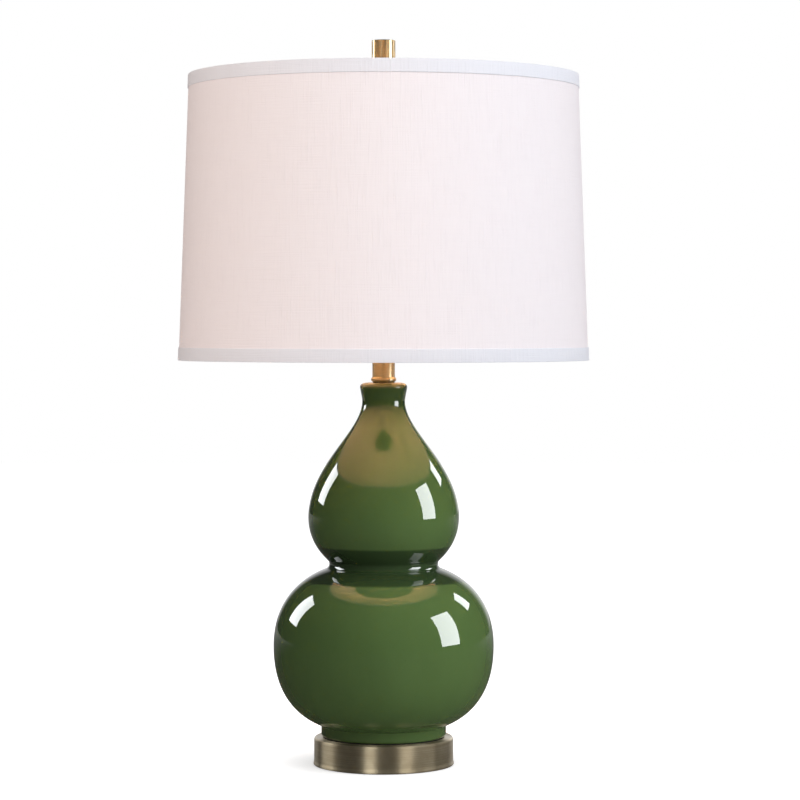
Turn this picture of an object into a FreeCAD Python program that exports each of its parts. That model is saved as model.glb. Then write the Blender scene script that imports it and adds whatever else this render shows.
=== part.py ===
import FreeCAD, Part

import math
import os

import Sketcher
from FreeCAD import Vector

# A double gourd table lamp: glazed ceramic body, brass-finished base, neck and finial, drum shade on a harp.
#
# The lamp stands on z = 0 with its axis on the Z axis. The front is towards -Y and the cord hole is at the
# back. Every piece is drawn from the sizes in the sheet, and each piece sits on the one below it.

# Driving sizes in millimetres, grouped by piece: name, value, what it measures.
SIZES = [
    # base
    ("base_radius", 68.4, "side wall of the base cup, outside"),
    ("base_height", 27.5, "top face of the base cup above the table"),
    ("base_wall", 1.2, "sheet metal of the base cup"),
    ("base_edge_round", 2.2, "rounding of the cup's top edge"),
    ("base_rim_flare", 1.0, "how far the rolled bottom rim stands proud"),
    ("base_rim_height", 3.4, "height of the rolled bottom rim"),
    ("base_rim_lift", 0.5, "gap between the metal rim and the table"),
    ("base_flange_width", 9.0, "inward flange that the felt is glued to"),
    ("felt_thickness", 1.6, "felt disc under the base"),
    ("felt_margin", 1.0, "felt disc inside the side wall"),
    ("cord_hole_radius", 4.8, "side hole for the cord at the back of the base"),
    ("cord_hole_height", 13.0, "centre of the cord hole above the table"),
    ("bushing_bore", 3.3, "radius of the opening that the cord passes through"),
    ("bushing_fit", 0.05, "radial clearance of the bushing in its hole"),
    ("bushing_flange_radius", 6.6, "outer flange of the bushing"),
    ("bushing_flange_thickness", 1.5, "outer flange of the bushing"),
    ("bushing_lip_radius", 5.5, "snap lip inside the wall"),
    ("bushing_lip_length", 1.8, "snap lip inside the wall"),
    ("bushing_lip_gap", 0.4, "gap from the wall to the snap lip"),
    # fixing stack on the threaded pipe
    ("pipe_radius", 5.1, "threaded pipe, outside"),
    ("pipe_bore", 3.5, "threaded pipe, inside"),
    ("pipe_tail", 5.0, "pipe standing out below the nut"),
    ("pipe_play", 0.2, "radial clearance of plain holes on the pipe"),
    ("thread_fit", 0.05, "radial clearance of threaded holes on the pipe"),
    ("washer_radius", 16.0, "large flat washer"),
    ("washer_thickness", 1.6, "large flat washer"),
    ("lock_washer_radius", 8.4, "split lock washer"),
    ("lock_washer_thickness", 1.6, "split lock washer"),
    ("lock_washer_split", 1.2, "width of the split"),
    ("nut_corner_radius", 8.25, "hexagon nut, centre to corner"),
    ("nut_thickness", 5.0, "hexagon nut"),
    # ceramic body: each radius is where the outline runs upright, each reach is how long it stays so
    ("gasket_thickness", 0.8, "gasket between base and foot"),
    ("gasket_width", 9.0, "gasket between base and foot"),
    ("gasket_inset", 1.5, "gasket inside the foot's outer edge"),
    ("ceramic_wall", 5.0, "wall of the ceramic body"),
    ("foot_radius", 61.3, "foot ring"),
    ("foot_height", 9.9, "foot ring, table side to its fillet"),
    ("foot_round", 2.4, "rounding of the foot's lower edge"),
    ("foot_crease", 1.0, "fillet between foot and belly"),
    ("foot_angle", 40.6, "degrees above level at which the belly leaves the foot"),
    ("foot_reach", 4.5, "length of the belly's straight start at the foot"),
    ("foot_ring_width", 9.0, "width of the foot ring that stands on the base"),
    ("foot_ring_depth", 4.0, "recess under the belly, inside the foot ring"),
    ("floor_thickness", 6.0, "ceramic floor of the belly"),
    ("floor_hole_radius", 18.0, "casting hole in the floor"),
    ("belly_radius", 108.2, "lower gourd at its widest"),
    ("belly_rise", 88.8, "foot's lower face to the widest line"),
    ("belly_lower_reach", 64.6, "fullness of the belly below its widest line"),
    ("belly_upper_reach", 59.3, "fullness of the belly above its widest line"),
    ("waist_radius", 53.4, "crease between the two gourds"),
    ("waist_rise", 80.9, "widest line of the belly to the crease"),
    ("waist_round", 5.3, "hollow round of the crease"),
    ("waist_lower_angle", 64.3, "degrees of the crease's round below its narrowest line"),
    ("waist_upper_angle", 22.9, "degrees of the crease's round above its narrowest line"),
    ("waist_lower_reach", 5.6, "length of the belly's straight end at the crease"),
    ("waist_upper_reach", 2.0, "length of the upper gourd's straight start at the crease"),
    ("upper_radius", 74.0, "upper gourd at its widest"),
    ("upper_rise", 45.2, "crease to the widest line of the upper gourd"),
    ("upper_lower_reach", 27.5, "fullness of the upper gourd below its widest line"),
    ("upper_upper_reach", 48.8, "fullness of the upper gourd above its widest line"),
    ("neck_radius", 21.1, "neck at its narrowest"),
    ("neck_rise", 114.2, "widest line of the upper gourd to the narrow of the neck"),
    ("neck_lower_reach", 28.8, "length of the neck's lower curve"),
    ("neck_upper_reach", 4.3, "length of the neck's upper curve"),
    ("lip_radius", 23.2, "flared lip of the neck"),
    ("lip_rise", 13.8, "narrow of the neck to the widest of the lip"),
    ("lip_lower_reach", 2.0, "softness under the lip"),
    ("lip_crown", 4.6, "height of the rounded crown above the widest of the lip"),
    ("crown_flat_radius", 13.0, "flat seat on top of the crown"),
    ("crown_side_reach", 3.0, "fullness of the crown's side"),
    ("crown_top_reach", 7.0, "fullness of the crown's top"),
    ("neck_end_thickness", 6.0, "ceramic closing the top of the neck"),
    ("neck_hole_radius", 6.5, "hole for the pipe in the top of the neck"),
    # brass neck
    ("pad_thickness", 0.6, "soft washer on the crown"),
    ("pad_radius", 10.5, "soft washer on the crown"),
    ("tube_radius", 11.1, "neck tube, outside"),
    ("tube_wall", 0.9, "neck tube"),
    ("tube_length", 50.0, "neck tube"),
    ("tube_fit", 0.05, "radial clearance of the tube in its seats"),
    ("bead_height", 4.5, "beaded check ring"),
    ("bead_bulge", 1.3, "how far the bead swells beyond the tube"),
    ("check_plate", 1.2, "floor of the check ring"),
    ("cap_plate", 1.5, "plate on top of the neck tube"),
    ("cap_overhang", 0.9, "plate beyond the tube"),
    ("cap_boss", 2.0, "boss of the plate inside the tube"),
    ("cap_edge_round", 0.5, "rounding of the plate's upper edge"),
    # harp
    ("saddle_thickness", 1.6, "strap of the saddle"),
    ("saddle_width", 13.0, "strap of the saddle"),
    ("saddle_hub_radius", 10.0, "round middle of the saddle"),
    ("saddle_bend", 2.5, "inner bend radius of the strap"),
    ("saddle_spread", 27.0, "axis to the middle of each upright tab"),
    ("shoulder_rise", 12.0, "top of the strap to the tab's shoulders"),
    ("tab_width", 5.4, "upright tab above the shoulders"),
    ("tab_rise", 13.5, "shoulders to the top of the tab"),
    ("harp_height", 228.6, "underside of the saddle to the shade's seat"),
    ("harp_half_width", 56.0, "axis to the middle of the wire at the widest"),
    ("harp_wire_radius", 2.0, "wire of the harp"),
    ("leg_half_spacing", 25.5, "axis to the middle of each upright leg"),
    ("leg_gap", 0.5, "foot of each leg above the tab's shoulders"),
    ("leg_straight", 30.0, "straight stretch of each leg"),
    ("leg_bend", 20.0, "bend from the leg into the bow"),
    ("leg_flat_rise", 15.0, "flat at the foot of each leg, which lies on the tab"),
    ("leg_flat_gap", 0.15, "gap between the flat and the tab"),
    ("eye_radius", 6.2, "flattened eye at the top of the harp"),
    ("sleeve_bore", 3.5, "locking sleeve, inside radius"),
    ("sleeve_wall", 1.0, "locking sleeve"),
    ("sleeve_length", 15.5, "locking sleeve"),
    ("sleeve_rim", 0.6, "rolled rims of the sleeve beyond its wall"),
    ("sleeve_rim_height", 1.4, "rolled rims of the sleeve"),
    ("sleeve_seat_gap", 0.1, "sleeve above the tab's shoulders"),
    # swivel on top of the harp
    ("shank_radius", 3.0, "swivel shank in the eye"),
    ("shank_fit", 0.06, "radial clearance of the shank in the eye"),
    ("rivet_radius", 4.8, "rivet head under the eye"),
    ("rivet_thickness", 1.4, "rivet head under the eye"),
    ("swivel_play", 0.1, "end play of the swivel in the eye"),
    ("seat_radius", 11.0, "disc that the shade's hub rests on"),
    ("seat_thickness", 1.6, "disc that the shade's hub rests on"),
    ("spigot_radius", 5.0, "spigot that centres the shade's hub"),
    ("spigot_height", 1.2, "spigot that centres the shade's hub"),
    ("stud_radius", 3.1, "threaded stud"),
    ("stud_length", 14.0, "threaded stud above the spigot"),
    ("stud_fit", 0.1, "radial clearance of the finial on the stud"),
    # shade
    ("hub_radius", 19.0, "washer at the middle of the spider"),
    ("hub_thickness", 1.5, "washer at the middle of the spider"),
    ("hub_play", 0.3, "radial clearance of the washer on the spigot"),
    ("arm_radius", 1.6, "spider arm wire"),
    ("arm_start", 14.0, "axis to the inner end of each arm"),
    ("arm_bend", 8.0, "bend at the outer end of each arm"),
    ("arm_count", 3, "spider arms"),
    ("shade_drop", 17.8, "top edge of the shade above the underside of the hub"),
    ("shade_height", 278.0, "top edge to bottom edge of the shade"),
    ("shade_top_radius", 190.0, "cover at the top edge, outside"),
    ("shade_bottom_radius", 200.4, "cover at the bottom edge, outside"),
    ("cover_thickness", 0.7, "fabric cover"),
    ("liner_thickness", 0.5, "plastic liner that the fabric is laminated to"),
    ("ring_radius", 1.8, "wire rings at the shade's edges"),
    ("ring_gap", 0.1, "wire rings inside the liner"),
    ("trim_thickness", 0.8, "folded hem tape"),
    ("trim_width", 12.7, "hem tape on the outside"),
    ("trim_fold", 6.0, "hem tape turned in over the ring"),
    # finial
    ("finial_radius", 11.6, "turned cylinder"),
    ("finial_height", 50.8, "turned cylinder"),
    ("finial_edge", 0.6, "rounding of its ends"),
    ("finial_bore_depth", 17.0, "threaded hole from below"),
    # socket
    ("socket_hub_radius", 8.6, "threaded hub of the socket cap"),
    ("socket_hub_height", 9.0, "threaded hub of the socket cap"),
    ("socket_bowl_start", 6.5, "hub's foot to the bowl"),
    ("socket_cap_radius", 18.0, "rim of the socket cap, outside"),
    ("socket_cap_height", 24.0, "socket cap"),
    ("socket_cap_skirt", 5.0, "upright rim of the socket cap"),
    ("socket_cap_wall", 0.7, "socket cap"),
    ("set_screw_radius", 1.5, "screw that locks the cap on the pipe"),
    ("set_screw_height", 3.2, "screw axis above the hub's foot"),
    ("set_screw_gap", 0.1, "screw point off the pipe"),
    ("set_screw_fit", 0.05, "radial clearance of the screw in the hub"),
    ("shell_lap", 3.5, "socket shell inside the cap's rim"),
    ("shell_wall", 0.5, "socket shell"),
    ("shell_length", 41.0, "socket shell"),
    ("shell_bead", 0.6, "rolled bead at the mouth of the shell"),
    ("shell_bead_height", 1.6, "rolled bead at the mouth of the shell"),
    ("slot_half_width", 3.6, "notch in shell and liner for the switch shaft"),
    ("slot_head", 4.2, "notch above the shaft's axis"),
    ("liner_gap", 0.1, "fibre liner inside the shell"),
    ("fibre_thickness", 0.7, "fibre liner"),
    ("fibre_rise", 1.0, "fibre liner's foot above the shell's foot"),
    ("fibre_length", 40.0, "fibre liner"),
    ("block_radius", 14.6, "moulded switch block"),
    ("block_flange_radius", 15.4, "flanges of the block inside the liner"),
    ("block_flange_height", 2.5, "flanges of the block"),
    ("block_height", 14.0, "moulded switch block"),
    ("terminal_radius", 1.4, "shanks of the terminal screws"),
    ("terminal_fit", 0.05, "radial clearance of the terminal screws"),
    ("terminal_depth", 5.0, "depth of the terminal screws in the block"),
    ("terminal_head_radius", 2.3, "heads of the terminal screws"),
    ("terminal_head_thickness", 0.7, "heads of the terminal screws"),
    ("screw_shell_wall", 0.5, "lamp screw shell"),
    ("screw_shell_hole", 9.0, "hole in the floor of the screw shell"),
    ("screw_shell_length", 22.0, "lamp screw shell"),
    ("screw_shell_play", 0.35, "radial clearance of the bulb in the screw shell"),
    ("leaf_width", 5.0, "centre contact leaf"),
    ("leaf_thickness", 0.4, "centre contact leaf"),
    ("leaf_foot", 6.0, "axis to the upright of the leaf"),
    ("leaf_turn", 3.0, "foot of the leaf on the block"),
    ("leaf_tip", 3.0, "axis to the free end of the leaf"),
    ("leaf_rise", 2.6, "underside of the leaf above the block"),
    ("leaf_gap", 0.3, "leaf to the bulb's contact"),
    # switch
    ("shaft_radius", 1.6, "switch shaft"),
    ("shaft_fit", 0.06, "radial clearance of the shaft in the block"),
    ("shaft_inner", 5.0, "axis of the lamp to the inner end of the shaft"),
    ("shaft_rise", 6.5, "foot of the block to the shaft's axis"),
    ("knob_start", 21.5, "axis of the lamp to the knob's inner face"),
    ("knob_length", 17.0, "switch knob"),
    ("knob_radius", 5.4, "switch knob at its outer end"),
    ("knob_neck_radius", 4.4, "switch knob at its inner end"),
    ("knob_round", 1.2, "rounding of the knob's end"),
    ("knob_bore_depth", 9.0, "shaft in the knob"),
    ("knob_fit", 0.05, "radial clearance of the shaft in the knob"),
    ("flute_radius", 0.9, "grip flutes"),
    ("flute_offset", 0.5, "flute centre beyond the knob's radius"),
    ("flute_start", 3.0, "knob's inner face to the flutes"),
    ("flute_count", 12, "grip flutes"),
    # bulb
    ("bulb_cap_radius", 13.1, "screw cap of the bulb"),
    ("bulb_cap_wall", 0.4, "screw cap of the bulb"),
    ("bulb_cap_length", 21.0, "screw cap of the bulb"),
    ("bulb_cap_taper", 2.5, "sloping foot of the screw cap"),
    ("insulator_radius", 8.2, "glass insulator where it meets the cap"),
    ("insulator_lap", 1.6, "foot of the cap over the insulator"),
    ("insulator_height", 3.2, "glass insulator"),
    ("tip_radius", 4.4, "centre contact of the bulb"),
    ("tip_margin", 1.0, "insulator beyond the centre contact"),
    ("tip_height", 1.0, "centre contact of the bulb"),
    ("globe_neck_lap", 5.0, "glass neck inside the cap"),
    ("globe_radius", 33.5, "glass globe at its widest"),
    ("globe_rise", 74.0, "top of the cap to the widest line"),
    ("globe_crown", 33.3, "widest line to the top of the bulb"),
    ("globe_neck_reach", 33.0, "fullness of the globe's neck"),
    ("globe_lower_reach", 30.0, "fullness below the widest line"),
    ("globe_upper_reach", 18.4, "fullness above the widest line"),
    ("globe_top_reach", 18.5, "fullness of the crown"),
    ("globe_wall", 0.9, "glass of the globe"),
    ("globe_fit", 0.1, "radial gap of the glass neck in the cap"),
]

doc = FreeCAD.newDocument("double_gourd_lamp")
sheet = doc.addObject("Spreadsheet::Sheet", "Sizes")
for row, (alias, number, meaning) in enumerate(SIZES, 1):
    sheet.set(f"A{row}", alias)
    sheet.set(f"B{row}", str(number))
    sheet.set(f"C{row}", meaning)
    sheet.setAlias(f"B{row}", alias)
doc.recompute()


class Size:
    """A number with the expression that gives it, so that a feature can be both placed and bound."""

    def __init__(self, value, text):
        self.value = value
        self.text = text

    def __add__(self, other):
        return Size(self.value + plain(other), f"({self.text} + {words(other)})")

    def __sub__(self, other):
        return Size(self.value - plain(other), f"({self.text} - {words(other)})")

    def __mul__(self, other):
        return Size(self.value * plain(other), f"{self.text} * {words(other)}")

    def __truediv__(self, other):
        return Size(self.value / plain(other), f"{self.text} / {words(other)}")

    def __neg__(self):
        return Size(-self.value, f"(0 - {self.text})")


def sine(angle):
    return Size(math.sin(math.radians(angle.value)), f"sin({angle.text})")


def cosine(angle):
    return Size(math.cos(math.radians(angle.value)), f"cos({angle.text})")


def plain(size):
    """The number of a size or of a plain number."""
    return size.value if isinstance(size, Size) else float(size)


def words(size):
    """The expression of a size or of a plain number."""
    return size.text if isinstance(size, Size) else str(size)


class Sheet:
    """Gives the sheet's cells by name, each as a Size."""

    def __getattr__(self, alias):
        return Size(float(sheet.get(alias)), f"Sizes.{alias}")


s = Sheet()
AXIS = Size(0.0, "0")


def bind(feature, prop, size):
    """Ties one property of a feature to the sheet."""
    feature.setExpression(prop, words(size))


class Outline:
    """A closed outline drawn from point to point with straight runs, arcs and cubic curves."""

    def __init__(self, x, y):
        self.corners = [(x, y)]
        self.edges = []

    def _to(self, kind, x, y, *shape):
        self.edges.append((kind, len(self.corners) - 1, shape))
        self.corners.append((x, y))
        return self

    def line(self, x, y):
        return self._to("line", x, y)

    def arc(self, x, y, radius, left=True):
        """An arc of under half a circle that turns to the left or to the right."""
        return self._to("arc", x, y, radius, left)

    def curve(self, x1, y1, x2, y2, x, y):
        """A cubic curve with its two inner control points."""
        return self._to("curve", x, y, (x1, y1), (x2, y2))

    def upright(self, reach_out, reach_in, x, y):
        """A cubic curve that leaves and arrives upright, going up if y is higher."""
        x0, y0 = self.corners[-1]
        up = plain(y) > plain(y0)
        first = y0 + reach_out if up else y0 - reach_out
        last = y - reach_in if up else y + reach_in
        return self.curve(x0, first, x, last, x, y)


def point(corner):
    return Vector(plain(corner[0]), plain(corner[1]), 0)


def arc_between(start, end, radius, left):
    """The arc of a circle from start to end. It always runs counter-clockwise, so its ends may be swapped."""
    chord = end - start
    rise = math.sqrt(max(radius**2 - (chord.Length / 2) ** 2, 0.0))
    side = Vector(-chord.y, chord.x, 0).normalize() * (rise if left else -rise)
    centre = (start + end) / 2 + side
    first, last = (start, end) if left else (end, start)
    angles = [math.atan2(p.y - centre.y, p.x - centre.x) for p in (first, last)]
    return Part.ArcOfCircle(Part.Circle(centre, Vector(0, 0, 1), radius), *angles)


def dimension(sketch, kind, *where):
    """Adds a constraint whose last argument is a Size, and binds it."""
    *place, size = where
    index = sketch.addConstraint(Sketcher.Constraint(kind, *place, plain(size)))
    if isinstance(size, Size):
        bind(sketch, f"Constraints[{index}]", size)


def fix(sketch, geometry, end, corner):
    dimension(sketch, "DistanceX", geometry, end, corner[0])
    dimension(sketch, "DistanceY", geometry, end, corner[1])


def add_curve(sketch, poles):
    """A cubic curve held by its control points, each of which is fixed by the sheet."""
    curve = Part.BSplineCurve()
    curve.buildFromPolesMultsKnots([point(p) for p in poles], [4, 4], [0, 1], False, 3)
    geometry = sketch.addGeometry(curve, False)
    for index, pole in enumerate(poles):
        knob = sketch.addGeometry(Part.Circle(point(pole), Vector(0, 0, 1), 1.0), True)
        align = "InternalAlignment:Sketcher::BSplineControlPoint"
        sketch.addConstraint(Sketcher.Constraint(align, knob, 3, geometry, index))
        sketch.addConstraint(Sketcher.Constraint("Weight", knob, 1.0))
        if 0 < index < len(poles) - 1:
            fix(sketch, knob, 3, pole)
    return geometry


def draw(sketch, outline):
    """Draws a closed outline: the last corner joins the first with a straight run."""
    corners = outline.corners
    edges = outline.edges + [("line", len(corners) - 1, ())]
    ends = []
    for kind, index, shape in edges:
        start, end = corners[index], corners[(index + 1) % len(corners)]
        if kind == "line":
            geometry = sketch.addGeometry(Part.LineSegment(point(start), point(end)))
            ends.append(((geometry, 1), (geometry, 2)))
        elif kind == "arc":
            radius, left = shape
            arc = arc_between(point(start), point(end), plain(radius), left)
            geometry = sketch.addGeometry(arc)
            dimension(sketch, "Radius", geometry, radius)
            ends.append(((geometry, 1), (geometry, 2)) if left else ((geometry, 2), (geometry, 1)))
        else:
            geometry = add_curve(sketch, [start, *shape, end])
            ends.append(((geometry, 1), (geometry, 2)))
    for index, (first, last) in enumerate(ends):
        following = ends[(index + 1) % len(ends)][0]
        sketch.addConstraint(Sketcher.Constraint("Coincident", *last, *following))
        fix(sketch, *first, corners[index])


def plane_of(body, role):
    return next(f for f in body.Origin.OriginFeatures if f.Role == role)


def new_body(name):
    return doc.addObject("PartDesign::Body", name)


def new_sketch(body, name, role, offset=None):
    """An empty sketch on one of the body's own planes, moved along the plane's normal by offset."""
    sketch = body.newObject("Sketcher::SketchObject", name)
    sketch.AttachmentSupport = [(plane_of(body, role), "")]
    sketch.MapMode = "FlatFace"
    if offset is not None:
        bind(sketch, "AttachmentOffset.Base.z", offset)
    return sketch


def outline_sketch(body, name, role, *outlines, offset=None):
    sketch = new_sketch(body, name, role, offset)
    for outline in outlines:
        draw(sketch, outline)
    return sketch


def circle_sketch(body, name, role, radius, x=AXIS, y=AXIS, offset=None):
    sketch = new_sketch(body, name, role, offset)
    circle = sketch.addGeometry(Part.Circle(point((x, y)), Vector(0, 0, 1), plain(radius)))
    dimension(sketch, "Radius", circle, radius)
    fix(sketch, circle, 3, (x, y))
    return sketch


def settle(body, feature):
    """Makes a feature the body's result and checks that it could be built."""
    body.Tip = feature
    doc.recompute()
    for made in (feature, *body.Group):
        if {"Invalid", "Error"} & set(made.State):
            raise RuntimeError(f"{body.Label}: {made.Label} could not be built, {made.State}")
    return feature


def turned(name, *outlines, role="XZ_Plane"):
    """A body turned about the vertical axis of its outline's plane."""
    body = new_body(name)
    sketch = outline_sketch(body, f"{name}_outline", role, *outlines)
    turn = body.newObject("PartDesign::Revolution", f"{name}_turn")
    turn.Profile = sketch
    turn.ReferenceAxis = (sketch, ["V_Axis"])
    turn.Angle = 360
    settle(body, turn)
    return body


def extruded(body, name, kind, sketch, length, both_ways=False, backwards=False):
    """A Pad or a Pocket. A pocket has to take something away."""
    before = body.Shape.Volume if body.Tip else 0.0
    feature = body.newObject(f"PartDesign::{kind}", name)
    feature.Profile = sketch
    feature.Midplane = both_ways
    feature.Reversed = backwards
    bind(feature, "Length", length)
    settle(body, feature)
    if kind == "Pocket" and body.Shape.Volume > before - 1e-6:
        raise RuntimeError(f"{name} cuts nothing")
    return feature


def swept(body, name, profile, path):
    feature = body.newObject("PartDesign::AdditivePipe", name)
    feature.Profile = profile
    feature.Spine = (path, [f"Edge{i + 1}" for i in range(len(path.Shape.Edges))])
    return settle(body, feature)


def around(body, name, feature, axis, count):
    """Repeats a feature evenly about one of the body's axes."""
    pattern = body.newObject("PartDesign::PolarPattern", name)
    pattern.Originals = [feature]
    pattern.Axis = (plane_of(body, axis), [""])
    pattern.Angle = 360
    bind(pattern, "Occurrences", count)
    return settle(body, pattern)


def mirrored(body, name, *features):
    """Repeats features on the other side of the lamp."""
    mirror = body.newObject("PartDesign::Mirrored", name)
    mirror.Originals = list(features)
    mirror.MirrorPlane = (plane_of(body, "YZ_Plane"), [""])
    return settle(body, mirror)


def ring(inner, outer, low, high):
    """A rectangle, which turns into a ring or a tube."""
    return Outline(inner, low).line(outer, low).line(outer, high).line(inner, high)


# ---------------------------------------------------------------- base and fixing stack

base_top = s.base_height
base_under = base_top - s.base_wall


def base_cup():
    """A spun sheet-metal cup, open below, with a rolled rim and an inward flange for the felt."""
    wall, outer = s.base_wall, s.base_radius
    inner, edge = outer - wall, s.base_edge_round
    rim, rim_low = outer + s.base_rim_flare, s.base_rim_lift
    rim_high, felt_top = rim_low + s.base_rim_height, s.felt_thickness
    hole, corner = s.pipe_radius + s.pipe_play, s.base_rim_flare
    cup = Outline(hole, base_under)
    cup.line(outer - edge, base_under).arc(inner, base_top - edge, edge - wall, left=False)
    cup.line(inner, felt_top + wall).line(inner - s.base_flange_width, felt_top + wall)
    cup.line(inner - s.base_flange_width, felt_top).line(inner, felt_top).line(inner, rim_low)
    cup.line(rim - corner, rim_low).arc(rim, rim_low + corner, corner)
    cup.line(rim, rim_high - corner).line(outer, rim_high)
    cup.line(outer, base_top - edge).arc(outer - edge, base_top, edge).line(hole, base_top)
    body = turned("base_cup", cup)
    hole_circle = circle_sketch(
        body, "cord_hole_circle", "XZ_Plane", s.cord_hole_radius, y=s.cord_hole_height
    )
    extruded(body, "cord_hole", "Pocket", hole_circle, rim + rim)
    return body


def cord_bushing():
    """A moulded bushing that snaps into the cord hole, turned about its own axis, which lies along Y."""
    outer_face = s.base_radius + s.bushing_flange_thickness
    inner_wall = s.base_radius - s.base_wall
    barrel = s.cord_hole_radius - s.bushing_fit
    lip_high = inner_wall - s.bushing_lip_gap
    lip_low = lip_high - s.bushing_lip_length
    bush = Outline(s.bushing_bore, lip_low)
    bush.line(barrel, lip_low).line(s.bushing_lip_radius, lip_high).line(barrel, lip_high)
    bush.line(barrel, s.base_radius).line(s.bushing_flange_radius, s.base_radius)
    bush.line(s.bushing_flange_radius, outer_face).line(s.bushing_bore, outer_face)
    body = turned("cord_bushing", bush, role="XY_Plane")
    bind(body, "Placement.Base.z", s.cord_hole_height)
    return body


def base_felt():
    disc = doc.addObject("Part::Cylinder", "base_felt")
    bind(disc, "Radius", s.base_radius - s.base_wall - s.felt_margin)
    bind(disc, "Height", s.felt_thickness)
    return disc


washer_low = base_under - s.washer_thickness
lock_low = washer_low - s.lock_washer_thickness
nut_low = lock_low - s.nut_thickness
pipe_low = nut_low - s.pipe_tail


def fixing_stack():
    """Washer, split washer and hexagon nut that draw the lamp together under the base."""
    bore = s.pipe_radius + s.pipe_play
    flat = turned("flat_washer", ring(bore, s.washer_radius, washer_low, base_under))

    lock = turned("lock_washer", ring(bore, s.lock_washer_radius, lock_low, washer_low))
    half = s.lock_washer_split / 2
    split = Outline(-half, AXIS).line(half, AXIS).line(half, s.washer_radius).line(-half, s.washer_radius)
    cut = outline_sketch(lock, "split_outline", "XY_Plane", split, offset=lock_low)
    extruded(lock, "split", "Pocket", cut, s.lock_washer_thickness, backwards=True)

    hexagon = doc.addObject("Part::Prism", "nut_blank")
    hexagon.Polygon = 6
    bind(hexagon, "Circumradius", s.nut_corner_radius)
    bind(hexagon, "Height", s.nut_thickness)
    bind(hexagon, "Placement.Base.z", nut_low)
    thread = doc.addObject("Part::Cylinder", "nut_thread")
    bind(thread, "Radius", s.pipe_radius + s.thread_fit)
    bind(thread, "Height", s.nut_thickness)
    bind(thread, "Placement.Base.z", nut_low)
    nut = doc.addObject("Part::Cut", "bottom_nut")
    nut.Base = hexagon
    nut.Tool = thread
    return [flat, lock, nut]


# ---------------------------------------------------------------- ceramic body

foot_low = base_top + s.gasket_thickness
foot_high = foot_low + s.foot_height
belly_z = foot_low + s.belly_rise
waist_z = belly_z + s.waist_rise
upper_z = waist_z + s.upper_rise
neck_z = upper_z + s.neck_rise
lip_z = neck_z + s.lip_rise
crown_z = lip_z + s.lip_crown


def foot_gasket():
    outer = s.foot_radius - s.gasket_inset
    return turned("foot_gasket", ring(outer - s.gasket_width, outer, base_top, foot_low))


def waist_ends(round_):
    """Lower and upper end of the crease's round, for the outside or for the inside of the wall."""
    centre = s.waist_radius + s.waist_round
    low, high = s.waist_lower_angle, s.waist_upper_angle
    return (
        (centre - cosine(low) * round_, waist_z - sine(low) * round_),
        (centre - cosine(high) * round_, waist_z + sine(high) * round_),
    )


def gourd_body():
    """The slip-cast shell: foot ring, belly, waist, upper gourd, neck and crown, with its hollow inside.

    The outline runs upright at the foot, both bellies, the neck and the lip, and the two gourds meet in a
    tight round. One curve joins each of these to the next. Inside, the wall follows the outside.
    """
    wall, foot = s.ceramic_wall, s.foot_radius
    crease, ring_in = s.foot_crease, s.foot_radius - s.foot_ring_width
    recess = foot_low + s.foot_ring_depth
    floor = recess + s.floor_thickness
    top_in = crown_z - s.neck_end_thickness
    lean, low, high = s.foot_angle, s.waist_lower_angle, s.waist_upper_angle
    start_x, start_z = foot + crease - sine(lean) * crease, foot_high + cosine(lean) * crease
    inside_x, inside_z = start_x - sine(lean) * wall, start_z + cosine(lean) * wall
    inner_start = s.foot_reach + wall
    (x_low, z_low), (x_high, z_high) = waist_ends(s.waist_round)
    shell = Outline(s.floor_hole_radius, recess)
    shell.line(ring_in, recess).line(ring_in, foot_low)
    shell.line(foot - s.foot_round, foot_low).arc(foot, foot_low + s.foot_round, s.foot_round)
    shell.line(foot, foot_high).arc(start_x, start_z, crease, left=False)
    shell.curve(
        start_x + cosine(lean) * s.foot_reach, start_z + sine(lean) * s.foot_reach,
        s.belly_radius, belly_z - s.belly_lower_reach,
        s.belly_radius, belly_z,
    )
    shell.curve(
        s.belly_radius, belly_z + s.belly_upper_reach,
        x_low + sine(low) * s.waist_lower_reach, z_low - cosine(low) * s.waist_lower_reach,
        x_low, z_low,
    )
    shell.arc(x_high, z_high, s.waist_round, left=False)
    shell.curve(
        x_high + sine(high) * s.waist_upper_reach, z_high + cosine(high) * s.waist_upper_reach,
        s.upper_radius, upper_z - s.upper_lower_reach,
        s.upper_radius, upper_z,
    )
    shell.upright(s.upper_upper_reach, s.neck_lower_reach, s.neck_radius, neck_z)
    shell.upright(s.neck_upper_reach, s.lip_lower_reach, s.lip_radius, lip_z)
    shell.curve(
        s.lip_radius, lip_z + s.crown_side_reach,
        s.crown_flat_radius + s.crown_top_reach, crown_z,
        s.crown_flat_radius, crown_z,
    )
    shell.line(s.neck_hole_radius, crown_z).line(s.neck_hole_radius, top_in)
    shell.line(s.neck_radius - wall, top_in).line(s.neck_radius - wall, neck_z)
    shell.upright(s.neck_lower_reach, s.upper_upper_reach, s.upper_radius - wall, upper_z)
    (x_low, z_low), (x_high, z_high) = waist_ends(s.waist_round + wall)
    inner_low, inner_high = s.waist_lower_reach + wall, s.waist_upper_reach + wall
    shell.curve(
        s.upper_radius - wall, upper_z - s.upper_lower_reach + wall,
        x_high + sine(high) * inner_high, z_high + cosine(high) * inner_high,
        x_high, z_high,
    )
    shell.arc(x_low, z_low, s.waist_round + wall)
    shell.curve(
        x_low + sine(low) * inner_low, z_low - cosine(low) * inner_low,
        s.belly_radius - wall, belly_z + s.belly_upper_reach - wall,
        s.belly_radius - wall, belly_z,
    )
    shell.curve(
        s.belly_radius - wall, belly_z - s.belly_lower_reach + wall,
        inside_x + cosine(lean) * inner_start, inside_z + sine(lean) * inner_start,
        inside_x, inside_z,
    )
    shell.line(ring_in, floor).line(s.floor_hole_radius, floor)
    return turned("gourd_body", shell)


# ---------------------------------------------------------------- brass neck

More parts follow.
